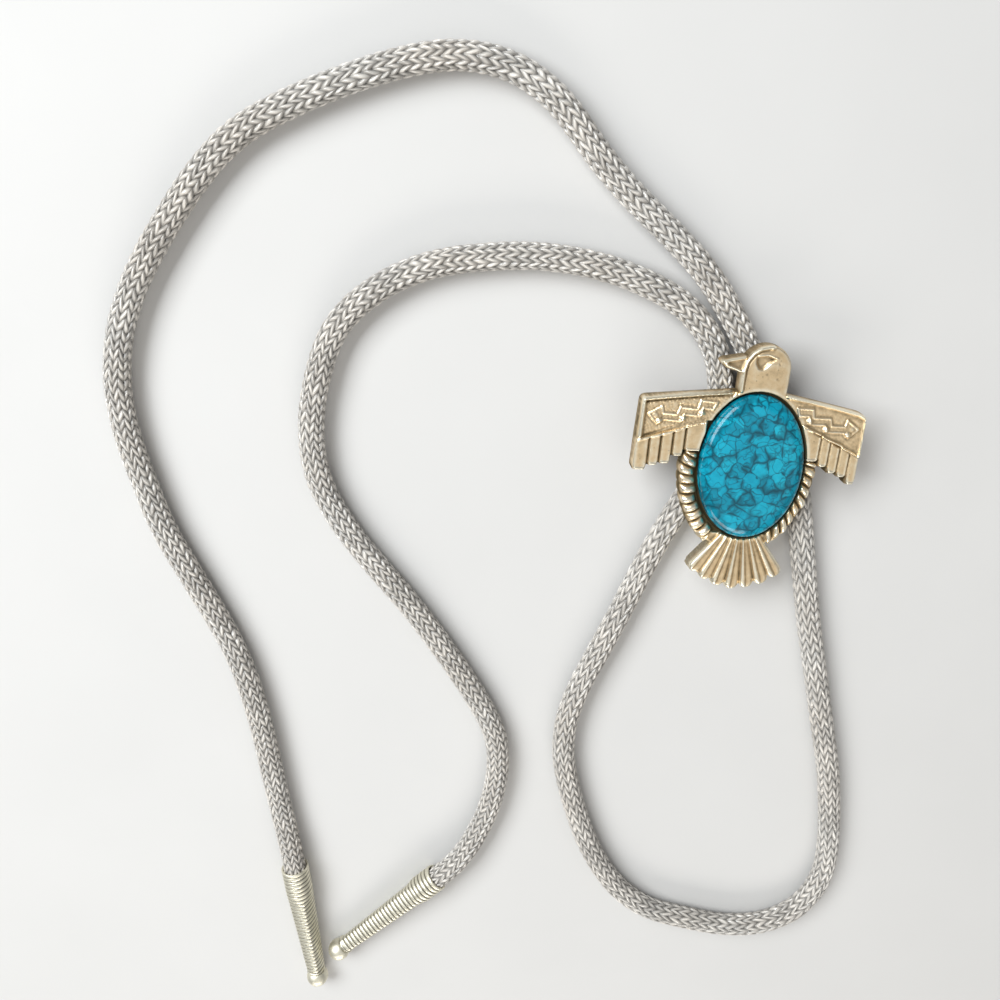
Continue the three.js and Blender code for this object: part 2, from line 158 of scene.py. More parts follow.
# The bird is drawn about its body's middle, which lies a little to the right of the origin
BODY_AT = (1.15, -0.3)
CAST_BACK = 7.5
POCKET_FLOOR = 1.5
SETTING = 2.0
WEB = 2.5
FIELD = 3.1
FEATHER = 3.45
RIDGE = 3.7
RIM = 3.9
# The grid: its cell and box, how near to the edge a point is moved on to it, and how far inside the edge a
# cell's middle lies at least, both in cells
GRID_CELL = 0.12
GRID_X = (-28.24, 26.6)
GRID_Y = (-30.2, 30.2)
GRID_PULL = 0.6
GRID_SLIVER = 0.05
LEAST_SLOPE = 0.3
BEVEL_WIDTH = 0.5
SHARP_ANGLE = 50.0
# Wear and painted light: cells each way of the mean, height for the whole range, a painted shade along the
# outer edge and its width, the level of the walls as a painted shade, each of these two a painted highlight
# in the tail, the painted shade of sunk places and beside the pocket, and in the finish the share of a slow
# drift and of the pits
WEAR_REACH = 5
WEAR_RANGE = 0.9
EDGE_SHADE = -0.12
TAIL_EDGE_HIGHLIGHT = 0.4
EDGE_WIDTH = 0.6
WALL_SHADE = 0.22
TAIL_WALL_HIGHLIGHT = 0.9
TAIL_FROM = -14.0
SUNK_SHADE = 0.55
POCKET_SHADE = 0.7
POCKET_SHADE_WIDTH = 0.4
POCKET_SHADE_AT_ROPE = 0.35
WEAR_DRIFT = 0.44
PIT_BUMP = 0.5
BODY_MIDDLE = (0.1, 1.2)
BODY_INNER = (13.4, 18.5)
BODY_OUTER = (15.1, 20.8)
SHOULDER = 11.0
STONE_MIDDLE = (0.55, 1.2)
STONE_AXES = (11.95, 17.0)
STONE_TURN = 2.75
STONE_WALL = 0.9
STONE_SQUARENESS = 0.64
STONE_GAP = 0.5
STONE_SEAT = 0.3
STONE_ROWS = 47
STONE_AROUND = 160
# The stone's underside and girdle: share of the oval, and height
STONE_FOOT = [(0.5, 0.0), (0.9, 0.0), (0.97, 0.0), (0.99, 0.12), (1.0, 0.3), (1.0, 0.6)]
# The crackle: its stretch, the push of two noises in millimetres, fine cells to a large one, the level of the
# loops, and the share of a cell's own tint beside the clouds
CRACKLE_STRETCH = (1.0, 1.0, 0.6)
CRACKLE_PUSH = 1.5
CRACKLE_WAVE = 0.6
CRACKLE_FINE = 2.1
LOOP_LEVEL = 0.53
CELL_TINT = 0.6
# Inside the stone, this far from its edge, the pocket floor has no grid of its own
POCKET_PLAIN = 1.2

# A stroke is a line, its half width, and the height that it rises to or, below 0, the depth that it cuts.
# The wings: outline, stretch and lift of the lightning, edges and ends of the vanes from the outermost in,
# how much is cut or raised, strokes for the scored line and the diagonal ridge, and those for the two rims
WINGS = [
    {
        "side": -1, "root": (5.0, 18.7), "tip": (26.2, 16.5, 1.2), "hem": (26.6, 7.0), "inner": (10.5, 11.6),
        "stretch": 1.02, "lift": 0.065, "edges": (26.8, 23.4, 20.8, 18.1, 15.4, 10.8),
        "ends": (-0.1, 1.1, 1.6, 3.5, 4.8), "dents": 0.08,
        "under_rim": 0.3, "vane_lip": 0.0, "parting": 0.65,
        "strokes": [([(-24.5, 7.9), (-21.5, 9.0), (-18.6, 10.1)], 0.3, -0.2),
                    ([(-26.0, 6.7), (-23.0, 7.6), (-21.0, 8.1), (-18.5, 9.0), (-15.3, 10.2)], 0.46, RIDGE),
                    ([(-15.1, 10.4), (-11.2, 11.4)], 0.46, RIDGE)],
        "rims": [([(-25.5, 16.1), (-20.0, 16.85), (-12.0, 17.85), (-6.4, 18.4)], 0.62, RIM),
                 ([(-25.6, 15.8), (-25.75, 7.2)], 0.75, RIM - 0.05)],
    },
    {
        "side": 1, "root": (5.6, 18.4), "tip": (25.0, 14.6, 1.5), "hem": (25.2, 4.5), "inner": (10.9, 11.4),
        "stretch": 1.0, "lift": 0.0, "edges": (25.3, 22.8, 20.35, 17.95, 15.65, 10.8),
        "ends": (-1.6, 0.1, 0.9, 2.3, 3.5), "dents": 0.04,
        "under_rim": 0.0, "vane_lip": 0.22, "parting": 0.38,
        "strokes": [([(16.5, 9.5), (20.0, 8.2), (24.5, 5.8)], 0.3, -0.05),
                    ([(11.0, 11.3), (15.2, 9.6)], 0.46, RIDGE),
                    ([(15.9, 9.05), (17.0, 8.55), (20.3, 7.35), (21.0, 6.6), (23.0, 5.7), (24.8, 4.6)],
                     0.46, RIDGE)],
        "rims": [([(6.2, 18.0), (12.0, 17.0), (18.0, 15.85), (23.3, 14.6), (24.6, 13.9)], 0.62, RIM),
                 ([(24.85, 13.8), (25.0, 5.0)], 0.4, RIM - 0.05)],
    },
]
WING_FOOT = (4.0, 12.0)
LIGHTNING = [
    (8.9, 15.5), (12.7, 15.5), (13.1, 13.5), (17.0, 13.5), (17.5, 11.8), (20.6, 11.8), (20.9, 13.3),
    (23.9, 11.2), (21.8, 9.1), (20.5, 10.2), (16.4, 10.2), (15.9, 11.8), (12.4, 11.8), (11.9, 13.7),
    (9.6, 13.7),
]
LIGHTNING_EDGE = 3.31
LIGHTNING_KNOBS = [(22.3, 11.1, 3.35), (21.4, 9.9, 3.7), (16.2, 10.9, 3.7), (12.2, 12.6, 3.7)]
LIGHTNING_HALF = 0.42
FEATHER_LIP = 0.5
FEATHER_CORNER = 1.1
FEATHER_OVERLAP = 0.5
# Half widths of the wings' ridges and grooves, how far some lie beside the form they follow, and heights
DENTS_INSET = 0.5
VANE_SOFTNESS = 0.6
VANE_TOP_SOFTNESS = 0.4
VANE_END_INSET = 0.7
VANE_END_HALF = 0.55
VANE_END_RISE = 0.2
VANE_LIP_BESIDE = 0.42
VANE_LIP_HALF = 0.34
PARTING_HALF = 0.32
UNDER_RIM_BESIDE = 0.75
UNDER_RIM_HALF = 0.36
LIGHTNING_BESIDE = 0.1
LIGHTNING_BED_HALF = 0.9
LIGHTNING_BED_DEPTH = 0.14
KNOB_HALF = 0.95
# The two waves of the dents: pace, bend, and pace of the bend
DENT_WAVES = [(5.6, 1.7, 2.3), (5.2, 1.5, 2.9)]

HEAD_MIDDLE = (0.6, 23.7)
HEAD_RADIUS = 5.5
NECK_FOOT = 17.0
BEAK = [(-4.3, 26.7), (-9.0, 25.8, 0.5), (-10.0, 25.2, 0.6), (-8.6, 23.8, 0.5), (-4.3, 22.6)]
BEAK_HOLLOW = 3.15
# Strokes for the beak's two edges and its tip, and for the band round the head with a line inside it
HEAD_STROKES = [
    ([(-4.6, 26.3), (-8.6, 25.35)], 0.6, RIDGE),
    ([(-5.2, 23.2), (-6.6, 23.75), (-8.4, 24.35)], 0.6, RIDGE),
    ([(-9.3, 25.2), (-8.8, 25.0)], 0.9, RIDGE + 0.1),
    ([(-3.95, 19.4), (-3.95, 23.5), (-3.5, 25.3), (-2.5, 26.8), (-1.1, 27.8), (0.5, 28.2)], 0.42, -0.26),
    ([(-4.5, 19.0), (-4.5, 23.5), (-4.1, 25.5), (-3.0, 27.2), (-1.4, 28.3), (0.4, 28.7), (1.2, 28.7)],
     0.8, RIM),
]
EYE = [(-1.9, 25.1, 0.2), (-1.9, 26.4, 0.3), (0.3, 26.9, 0.8), (2.2, 26.1, 0.2), (0.8, 25.1, 0.5),
       (-0.3, 23.9, 0.3), (-1.2, 23.9, 0.3)]
EYE_DEPTH = 0.36
EYE_LIDS = [([(-1.6, 26.75), (0.5, 27.0), (2.1, 26.5), (2.6, 26.3)], 0.32, FIELD + 0.32),
            ([(0.1, 23.7), (1.4, 24.8), (2.9, 25.1)], 0.32, FIELD + 0.32)]
FACE_PITS = [(3.3, 25.1), (0.8, 22.8), (3.3, 21.9)]
FACE_DOME = 0.3
EYE_SOFTNESS = 0.8
PIT_HALF = 0.4
PIT_DEPTH = 0.12

TAIL_MIDDLE = (0.5, -9.1)
TAIL_FEATHERS = 7
TAIL_PITCH = 10.8
TAIL_START = 5.6
TAIL_REACH = (18.9, 19.4, 20.0, 20.4, 20.3, 20.2, 19.8)
TAIL_WEB_REACH = 18.6
TAIL_ROOT_HALF = 0.62
TAIL_END_HALF = 1.82
TAIL_WEB = 2.85
TAIL_WEB_BELOW = -15.0
TAIL_WEB_PITCHES = 3.45
TAIL_ROUNDING = 1.0
TAIL_END_FALL = 0.96
# Height of a tail feather across its width, from its left edge at -1 to its right edge at 1
TAIL_SECTION = [(-1.0, 2.85), (-0.92, 3.15), (-0.86, 3.6), (-0.76, 3.8), (-0.34, 3.8), (-0.22, 3.6),
                (-0.1, 3.3), (0.1, 3.36), (0.5, 3.36), (0.8, 3.2), (1.0, 2.85)]

ROPE_AXES = (14.0, 19.75)
ROPE_HALF = 1.9
ROPE_PITCH = 2.3
ROPE_SLANT = 0.38
ROPE_SCALLOP = 0.35
ROPE_SPANS = [(171.0, 241.0), (-62.0, 5.0)]
ROPE_MARKS = 721
# Degrees over which a span ends, the distance that the edge draws back there, size and pace of the strands'
# sway and thinning, height over the rim, and the share that is left between strands
ROPE_SPAN_EASE = 4.0
ROPE_DRAW_BACK = 4.0
ROPE_SWAY = (0.3, 2.1)
ROPE_THINNING = (0.35, 2.4)
ROPE_CREST = 0.2
ROPE_VALLEY = 0.05

# A distance beyond any form, and a length or share that counts as none
FAR = 9.0
TINY = 1e-9


# Settings

LENGTH = {"unit": "LENGTH", "subtype": "DISTANCE"}
COLOUR = {"min": 0, "max": 1, "size": 3, "subtype": "COLOR"}


class CordSettings(PropertyGroup):
    repeat: FloatProperty(name="Braid repeat", description="Length of one stitch along the two free runs",
                          default=0.00228, min=0.001, max=0.006, **LENGTH)
    loop_repeat: FloatProperty(
        name="Loop repeat", description="Length of one stitch along the stretched neck loop",
        default=0.0029, min=0.001, max=0.006, **LENGTH)
    columns: IntProperty(name="Columns", description="Columns of stitches round the cord, an even number",
                         default=16, min=8, max=32, step=2)
    depth: FloatProperty(name="Stitch depth", description="How far the cord sinks in between the stitches",
                         default=0.00045, min=0.0, max=0.001, **LENGTH)
    # The stitches' crowns are painted up to 1.4 times the thread colour as a highlight, and the colour
    # between the stitches is painted shade
    thread: FloatVectorProperty(
        name="Thread", description="Colour on top of the stitches", default=(0.575, 0.545, 0.5), **COLOUR)
    gap: FloatVectorProperty(name="Between stitches", description="Colour deep between the stitches",
                             default=(0.055, 0.048, 0.04), **COLOUR)


class TipSettings(PropertyGroup):
    winds: IntProperty(name="Winds", description="Turns of wire on a tip", default=28, min=10, max=60)
    wire: FloatProperty(name="Groove depth", description="Depth of the groove between two winds",
                        default=0.0004, min=0.0, max=0.001, **LENGTH)
    metal: FloatVectorProperty(
        name="Metal", description="Colour of the wound metal", default=(0.80, 0.765, 0.635), **COLOUR)
    # The tarnish colour also paints the shade in the socket and at the neck
    tarnish: FloatVectorProperty(name="Tarnish", description="Colour in the grooves between winds",
                                 default=(0.12, 0.10, 0.07), **COLOUR)


class CastingSettings(PropertyGroup):
    crest: FloatVectorProperty(name="Worn crests", description="Colour of the rubbed high places",
                               default=(0.97, 0.90, 0.72), **COLOUR)
    face: FloatVectorProperty(
        name="Face", description="Colour of the flat metal", default=(0.78, 0.605, 0.375), **COLOUR)
    # The patina colour also serves the painted shade, and the crest colour the painted highlight of the
    # tail's walls and edge
    patina: FloatVectorProperty(
        name="Patina", description="Colour left in the grooves", default=(0.15, 0.115, 0.06), **COLOUR)
    bevel: FloatProperty(name="Edge rounding", description="Height lost at the casting's outer edge",
                         default=0.0004, min=0.0, max=0.001, **LENGTH)


class StoneSettings(PropertyGroup):
    blue: FloatVectorProperty(
        name="Stone", description="Main colour of the stone", default=(0.001, 0.265, 0.385), **COLOUR)
    pale: FloatVectorProperty(
        name="Pale cells", description="Colour of the palest cells", default=(0.008, 0.375, 0.505), **COLOUR)
    vein: FloatVectorProperty(
        name="Veins", description="Colour of the crackle lines", default=(0.002, 0.052, 0.078), **COLOUR)
    cell: FloatProperty(name="Cell size", description="Width of one cell of the crackle",
                        default=0.0034, min=0.001, max=0.01, **LENGTH)
    height: FloatProperty(name="Height", description="Height of the stone from its foot to its top",
                          default=0.0042, min=0.002, max=0.01, **LENGTH)


class ClipSettings(PropertyGroup):
    steel: FloatVectorProperty(
        name="Steel", description="Colour of the clip behind the bird", default=(0.42, 0.41, 0.39), **COLOUR)


class StageSettings(PropertyGroup):
    floor: FloatVectorProperty(
        name="Floor", description="Colour of the floor", default=(0.62, 0.61, 0.595), **COLOUR)
    side_light: FloatProperty(name="Side light", description="Power of the soft light at the upper left",
                              default=12.0, min=0, max=50, unit="POWER")
    top_light: FloatProperty(name="Top light", description="Power of the soft light overhead",
                             default=1.9, min=0, max=50, unit="POWER")
    front_light: FloatProperty(name="Front light", description="Power of the soft low light in front",
                               default=3.2, min=0, max=50, unit="POWER")
    room: FloatProperty(
        name="Room light", description="Strength of the even light from all round", default=0.3, min=0, max=5)
    lens: FloatProperty(
        name="Lens", description="Focal length of the camera", default=34.056, min=10, max=200, unit="CAMERA")


class BoloTieSettings(PropertyGroup):
    cord: PointerProperty(type=CordSettings)
    tip: PointerProperty(type=TipSettings)
    casting: PointerProperty(type=CastingSettings)
    stone: PointerProperty(type=StoneSettings)
    clip: PointerProperty(type=ClipSettings)
    stage: PointerProperty(type=StageSettings)


# Meshes

def ring_quads(rings, around):
    """Quads between neighbouring rings of a tube, as ring numbers and column numbers."""
    ring, column = np.meshgrid(np.arange(rings - 1), np.arange(around), indexing="ij")
    rows = np.stack([ring, ring, ring + 1, ring + 1], -1).reshape(-1, 4)
    return rows, np.stack([column, column + 1, column + 1, column], -1).reshape(-1, 4)


def tube_piece(name, points, ends):
    """A piece from rings of points, with a fan over each end to a point of its own: first end, then last."""
    rings, around = points.shape[:2]
    rows, columns = ring_quads(rings, around)
    quads = rows * around + columns % around
    column = np.arange(around)
    after = (column + 1) % around
    last = (rings - 1) * around
    first_fan = np.stack([np.full(around, rings * around), after, column], -1)
    last_fan = np.stack([np.full(around, rings * around + 1), last + column, last + after], -1)
    every_point = np.concatenate([points.reshape(-1, 3), ends])
    return make_piece(name, every_point, quads, np.concatenate([first_fan, last_fan]))


def make_piece(name, points, quads, triangles):
    """A mesh object at the origin from points in millimetres and rows of corner numbers."""
    mesh = bpy.data.meshes.new(name)
    mesh.from_pydata((points * MM).tolist(), [], quads.tolist() + triangles.tolist())
    mesh.shade_smooth()
    piece = bpy.data.objects.new(name, mesh)
    bpy.context.scene.collection.objects.link(piece)
    return piece


def keep_values(piece, name, values):
    """One number for each point of the piece, for its finish to read."""
    layer = piece.data.attributes.new(name, "FLOAT", "POINT")
    layer.data.foreach_set("value", np.ascontiguousarray(values, np.float32))


def stand_for(piece, node, finish):
    """The piece takes the node's place on the frame, with its own finish."""
    piece.data.materials.append(finish)
    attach(piece, BODY_NAME)
    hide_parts(node)


# Finishes

class Nodes:
    """The nodes of one material: methods that add them, and set, which gives the shader links or values."""

    def __init__(self, name):
        self.material = bpy.data.materials.new(name)
        self.material.use_nodes = True
        self.tree = self.material.node_tree
        self.tree.nodes.clear()
        self.shader = self.tree.nodes.new("ShaderNodeBsdfPrincipled")
        end = self.tree.nodes.new("ShaderNodeOutputMaterial")
        self.tree.links.new(self.shader.outputs["BSDF"], end.inputs["Surface"])

    def feed(self, socket, value):
        """Links a node's output to the socket, or sets a plain value on it."""
        if isinstance(value, bpy.types.NodeSocket):
            self.tree.links.new(value, socket)
        elif isinstance(value, tuple) and socket.type == "RGBA":
            socket.default_value = (*value, 1.0)
        else:
            socket.default_value = value

    def set(self, **inputs):
        for name, value in inputs.items():
            self.feed(self.shader.inputs[name.replace("_", " ")], value)

    def node(self, kind, result, ways=(), numbered=(), **named):
        """A node with its ways and its inputs set, these by number or name; returns one output."""
        node = self.tree.nodes.new("ShaderNode" + kind)
        for name, value in dict(ways).items():
            setattr(node, name, value)
        for which, value in [*dict(numbered).items(), *named.items()]:
            self.feed(node.inputs[which], value)
        return node.outputs[result]

    def sums(self, operation, *values, kind="Math"):
        """A math node, or a vector math one, with its inputs in order."""
        return self.node(kind, 0, {"operation": operation}, enumerate(values))

    def ramp(self, amount, stops):
        """A colour that goes through the stops, each a place from 0 to 1 and a colour or a grey."""
        node = self.tree.nodes.new("ShaderNodeValToRGB")
        band = node.color_ramp
        while len(band.elements) < len(stops):
            band.elements.new(0.5)
        for element, (place, colour) in zip(band.elements, stops):
            element.position = place
            element.color = (*(colour if isinstance(colour, tuple) else (colour,) * 3), 1.0)
        self.feed(node.inputs["Fac"], amount)
        return node.outputs["Color"]

    def blend(self, amount, first, second, way="MIX"):
        ways = {"data_type": "RGBA", "blend_type": way}
        return self.node("Mix", 2, ways, {0: amount, 6: first, 7: second})

    def place(self, stretch=(1.0, 1.0, 1.0)):
        """The piece's own coordinates in millimetres, stretched along its axes."""
        spot = self.node("TexCoord", "Object")
        return self.node("Mapping", "Vector", Vector=spot, Scale=tuple(value / MM for value in stretch))

    def noise(self, spot, scale, detail, result="Fac", **inputs):
        return self.node("TexNoise", result, Vector=spot, Scale=scale, Detail=detail, **inputs)

    def bump(self, height, strength, distance):
        self.set(Normal=self.node("Bump", "Normal", Height=height, Strength=strength, Distance=distance))


def shade(colour, share):
    return tuple(min(1.0, part * share) for part in colour)


def stitch_nodes(nodes, column, row, way):
    """The stitch of stitch_height in nodes: its height, the places across and along it, and its number."""
    sums = nodes.sums
    start = 0.5 if way > 0 else 1.5
    pair = sums("MULTIPLY_ADD", column, 0.5, (1 - start) / 2)
    across = sums("MULTIPLY_ADD", sums("FRACT", pair), 2.0 * way, -way)
    climb = sums("MULTIPLY_ADD", across, STITCH_SLOPE, row)
    wide = sums("DIVIDE", sums("SUBTRACT", sums("FRACT", climb), 0.5), STITCH_HALF_WIDTH)
    long = sums("DIVIDE", across, STITCH_HALF_LENGTH)
    blunt = sums("POWER", sums("ABSOLUTE", long), STITCH_BLUNTNESS)
    away = sums("MULTIPLY_ADD", wide, wide, blunt)
    number = sums("MULTIPLY_ADD", sums("FLOOR", pair), STITCH_NUMBERS, sums("FLOOR", climb))
    return sums("SUBTRACT", 1.0, away), wide, long, sums("ADD", number, start)


def braid_finish(cord):
    """Glossy grey thread, worked out from the columns and rows as the mesh is.

    Of the two ways' stitches the higher is seen: a painted highlight on its crown and painted shade towards
    its edges. Each stitch has its own tone, and fine filaments run along it.
    """
    nodes = Nodes("grey_braid")
    sums, ramp, blend = nodes.sums, nodes.ramp, nodes.blend
    thread, gap = tuple(cord.thread), tuple(cord.gap)
    place = nodes.node("UVMap", "UV", {"uv_map": "stitches"})
    column, row = [nodes.node("SeparateXYZ", axis, Vector=place) for axis in ("X", "Y")]
    ways = [stitch_nodes(nodes, column, row, way) for way in (1, -1)]
    lean = sums("GREATER_THAN", ways[0][0], ways[1][0])
    top, wide, long, number = [
        nodes.node("Mix", "Result", {"data_type": "FLOAT"}, Factor=lean, A=second, B=first)
        for first, second in zip(*ways)
    ]
    # Painted light: the colour runs from painted shade in the gaps to a painted highlight on the crowns
    level = sums("MULTIPLY_ADD", top, BRAID_SHARE, 1 - BRAID_SHARE)
    colour = ramp(level, [
        (0.0, gap), (0.3, shade(thread, 0.4)), (0.6, shade(thread, 0.85)), (1.0, shade(thread, 1.4)),
    ])
    own_tone = nodes.node("TexWhiteNoise", "Value", {"noise_dimensions": "1D"}, W=number)
    colour = blend(1.0, colour, ramp(own_tone, [(0.0, 0.62), (1.0, 1.0)]), "MULTIPLY")
    along = sums("MULTIPLY_ADD", number, FILAMENT_STEP, long)
    fibre = nodes.node("CombineXYZ", "Vector", X=sums("MULTIPLY", wide, FILAMENTS), Y=along)
    filament = nodes.noise(fibre, scale=1.0, detail=2.0)
    colour = blend(0.5, colour, ramp(filament, [(0.3, 0.6), (0.5, 0.95), (0.7, 1.0)]), "MULTIPLY")
    wander = nodes.noise(nodes.place(), scale=0.05, detail=2.0)
    tone = ramp(wander, [(0.3, (0.93, 0.90, 0.87)), (0.7, (1.0, 1.0, 1.0))])
    nodes.set(Base_Color=blend(1.0, colour, tone, "MULTIPLY"),
              Roughness=ramp(filament, [(0.3, 0.34), (0.7, 0.2)]),
              Specular_IOR_Level=0.9, Sheen_Weight=0.25, Sheen_Roughness=0.35)
    raised = sums("MULTIPLY_ADD", filament, FILAMENT_BUMP, sums("MAXIMUM", top, GAP_BUMP))
    nodes.bump(raised, strength=1.0, distance=0.0004)
    return nodes.material


def tip_finish(tip):
    """Pale satin metal with tarnish in the grooves and a faint wear."""
    nodes = Nodes("pale_tip_metal")
    metal, spot = tuple(tip.metal), nodes.place()
    # The tarnish colour also paints shade in the socket and, with the darker metal, at the neck
    height = nodes.node("Attribute", "Fac", {"attribute_name": "wind"})
    colour = nodes.ramp(height, [(0.1, tuple(tip.tarnish)), (0.45, shade(metal, 0.65)), (0.8, metal)])
    wear = nodes.noise(spot, scale=0.9, detail=4.0)
    spots = nodes.ramp(wear, [(0.35, 0.85), (0.6, 1.0)])
    nodes.set(Base_Color=nodes.blend(0.7, colour, spots, "MULTIPLY"), Metallic=1.0,
              Roughness=nodes.ramp(wear, [(0.3, 0.55), (0.7, 0.42)]))
    nodes.bump(nodes.noise(spot, scale=3.0, detail=2.0), strength=0.25, distance=0.0001)
    return nodes.material


def casting_finish(casting):
    """Warm cast silver: rubbed bright on the crests, with brown patina in the grooves and small pits."""
    nodes = Nodes("warm_cast_silver")
    sums, face, spot = nodes.sums, tuple(casting.face), nodes.place()
    # Besides patina and rubbed crests, wear carries painted shade and, in the tail, a painted highlight
    wear = nodes.node("Attribute", "Fac", {"attribute_name": "wear"})
    drift = nodes.noise(spot, scale=0.55, detail=5.0, Roughness=0.6)
    level = sums("ADD", wear, sums("MULTIPLY", sums("SUBTRACT", drift, 0.5), WEAR_DRIFT))
    colour = nodes.ramp(level, [
        (0.10, tuple(casting.patina)), (0.34, shade(face, 0.62)), (0.5, face), (0.78, tuple(casting.crest)),
    ])
    pits = nodes.node("TexVoronoi", "Distance", Vector=spot, Scale=0.8, Randomness=1.0)
    dots = nodes.ramp(pits, [(0.05, 0.35), (0.12, 1.0)])
    nodes.set(Base_Color=nodes.blend(0.8, colour, dots, "MULTIPLY"), Metallic=1.0,
              Roughness=nodes.ramp(level, [(0.15, 0.85), (0.35, 0.5), (0.5, 0.4), (0.8, 0.3)]))
    skin = nodes.noise(spot, scale=1.6, detail=4.0, Roughness=0.55)
    nodes.bump(sums("ADD", skin, sums("MULTIPLY", dots, PIT_BUMP)), strength=0.35, distance=0.00015)
    return nodes.material


def stone_finish(stone):
    """Polished blue stone: cells of slightly different blue, parted by dark lines that thin out and swell.

    The cells' coordinates are pushed about by two noises. Their edges are the lines, with finer ones in
    patches, darker corners, and loops where a slow noise passes a level.
    """
    nodes = Nodes("blue_crackle_stone")
    sums, ramp, blend, node = nodes.sums, nodes.ramp, nodes.blend, nodes.node
    blue, cells = tuple(stone.blue), MM / stone.cell
    spot = nodes.place(CRACKLE_STRETCH)
    push = nodes.noise(spot, scale=0.4, detail=0.0, result="Color")
    push = sums("SUBTRACT", push, (0.5,) * 3, kind="VectorMath")
    moved = sums("MULTIPLY_ADD", push, (CRACKLE_PUSH,) * 3, spot, kind="VectorMath")
    wave = nodes.noise(spot, scale=0.8, detail=0.0, result="Color")
    bent = sums("MULTIPLY_ADD", wave, (CRACKLE_WAVE,) * 3, moved, kind="VectorMath")
    edge, fine = [
        node("TexVoronoi", "Distance", {"feature": "DISTANCE_TO_EDGE"}, Vector=bent, Scale=scale)
        for scale in (cells, cells * CRACKLE_FINE)
    ]
    tint, corner = [node("TexVoronoi", result, Vector=bent, Scale=cells) for result in ("Color", "Distance")]
    swell = nodes.noise(spot, scale=0.3, detail=3.0)
    width = sums("MULTIPLY", edge, ramp(swell, [(0.36, 0.5), (0.49, 1.2), (0.58, 6.0)]))
    line = ramp(width, [(0.0, 1.0), (0.06, 0.6), (0.19, 0.0)])
    line = blend(1.0, line, ramp(corner, [(0.6, 0.0), (0.85, 0.6)]), "LIGHTEN")
    patch = ramp(swell, [(0.4, 0.9), (0.52, 0.0)])
    small = blend(1.0, ramp(fine, [(0.0, 0.8), (0.06, 0.4), (0.15, 0.0)]), patch, "MULTIPLY")
    loop = sums("ABSOLUTE", sums("SUBTRACT", nodes.noise(bent, scale=0.5, detail=0.0), LOOP_LEVEL))
    veins = blend(1.0, line, small, "LIGHTEN")
    veins = blend(1.0, veins, ramp(loop, [(0.0, 0.9), (0.015, 0.5), (0.04, 0.0)]), "LIGHTEN")
    cloud = nodes.noise(spot, scale=0.8, detail=4.0)
    tone = sums("ADD", sums("MULTIPLY", tint, CELL_TINT), sums("MULTIPLY", cloud, 1 - CELL_TINT))
    ground = ramp(tone, [(0.25, shade(blue, 0.72)), (0.5, blue), (0.78, tuple(stone.pale))])
    nodes.set(Base_Color=blend(veins, ground, tuple(stone.vein)), Roughness=0.12, Specular_IOR_Level=0.33)
    nodes.bump(nodes.noise(spot, scale=0.25, detail=1.0), strength=0.08, distance=0.0004)
    return nodes.material


def clip_finish(clip):
    """Satin steel with fine drawn lines."""
    nodes = Nodes("satin_clip_steel")
    steel = tuple(clip.steel)
    lines = nodes.noise(nodes.place(stretch=(0.4, 6.0, 6.0)), scale=1.0, detail=3.0)
    nodes.set(Base_Color=nodes.ramp(lines, [(0.3, shade(steel, 0.75)), (0.7, shade(steel, 1.15))]),
              Metallic=1.0, Roughness=nodes.ramp(lines, [(0.3, 0.5), (0.7, 0.32)]))
    nodes.bump(lines, strength=0.2, distance=0.0001)
    return nodes.material


def floor_finish(stage):
    """Pale matt floor with a hardly visible mottle."""
    nodes = Nodes("pale_floor")
    colour = tuple(stage.floor)
    mottle = nodes.noise(nodes.place(), scale=0.02, detail=4.0)
    nodes.set(Base_Color=nodes.ramp(mottle, [(0.3, shade(colour, 0.97)), (0.7, colour)]), Roughness=0.85)
    return nodes.material


# Cords

def smooth_route(points, step):
    """A line through the points in equal steps.

    Between two points it is the cubic whose end slopes come from the neighbouring points, weighted by
    the root of their distances. It is then cut into equal steps and eased by a running mean.
    """
    points = np.array([(*point, CORD_RADIUS)[:3] for point in points])
    points = np.concatenate([[2 * points[0] - points[1]], points, [2 * points[-1] - points[-2]]])
    knot = np.sqrt(np.linalg.norm(np.diff(points, axis=0), axis=1))[:, None]
    before, at, then, after = points[:-3], points[1:-2], points[2:-1], points[3:]
    k0, k1, k2 = knot[:-2], knot[1:-1], knot[2:]
    leave = ((at - before) / k0 - (then - before) / (k0 + k1) + (then - at) / k1) * k1
    arrive = ((then - at) / k1 - (after - at) / (k1 + k2) + (after - then) / k2) * k1
    t = np.linspace(0, 1, ROUTE_POINTS, endpoint=False)[:, None, None]
    square, cube = 3 * (then - at) - 2 * leave - arrive, 2 * (at - then) + leave + arrive
    cubic = at + leave * t + square * t**2 + cube * t**3
    line = np.concatenate([cubic.transpose(1, 0, 2).reshape(-1, 3), points[-2:-1]])
    span = 2 * ROUTE_EASING + 1
    for _ in range(ROUTE_ROUNDS):
        line = equal_steps(line, ROUTE_SPACING)
        ends = np.pad(line, ((ROUTE_EASING, ROUTE_EASING), (0, 0)), mode="reflect", reflect_type="odd")
        total = np.cumsum(np.concatenate([np.zeros((1, 3)), ends]), axis=0)
        line = (total[span:] - total[:-span]) / span
    return equal_steps(line, step)


def equal_steps(line, spacing):
    """The same line cut into steps of equal length, as near to the spacing as fits."""
    travelled = np.concatenate([[0], np.cumsum(np.linalg.norm(np.diff(line, axis=0), axis=1))])
    places = np.linspace(0, travelled[-1], int(round(travelled[-1] / spacing)) + 1)
    return np.stack([np.interp(places, travelled, line[:, axis]) for axis in range(3)], -1)


def side_and_lift(heading):
    """Two directions square to each heading: one level, one upwards."""
    side = np.cross([0.0, 0.0, 1.0], heading)
    side /= np.linalg.norm(side, axis=-1, keepdims=True)
    return side, np.cross(heading, side)


def rounded_top(place):
    """A half round over each whole number of the place: 0 at the edges of a strand and 1 in its middle."""
    return np.sqrt(np.clip(1 - (2 * (place % 1.0) - 1) ** 2, 0, 1))


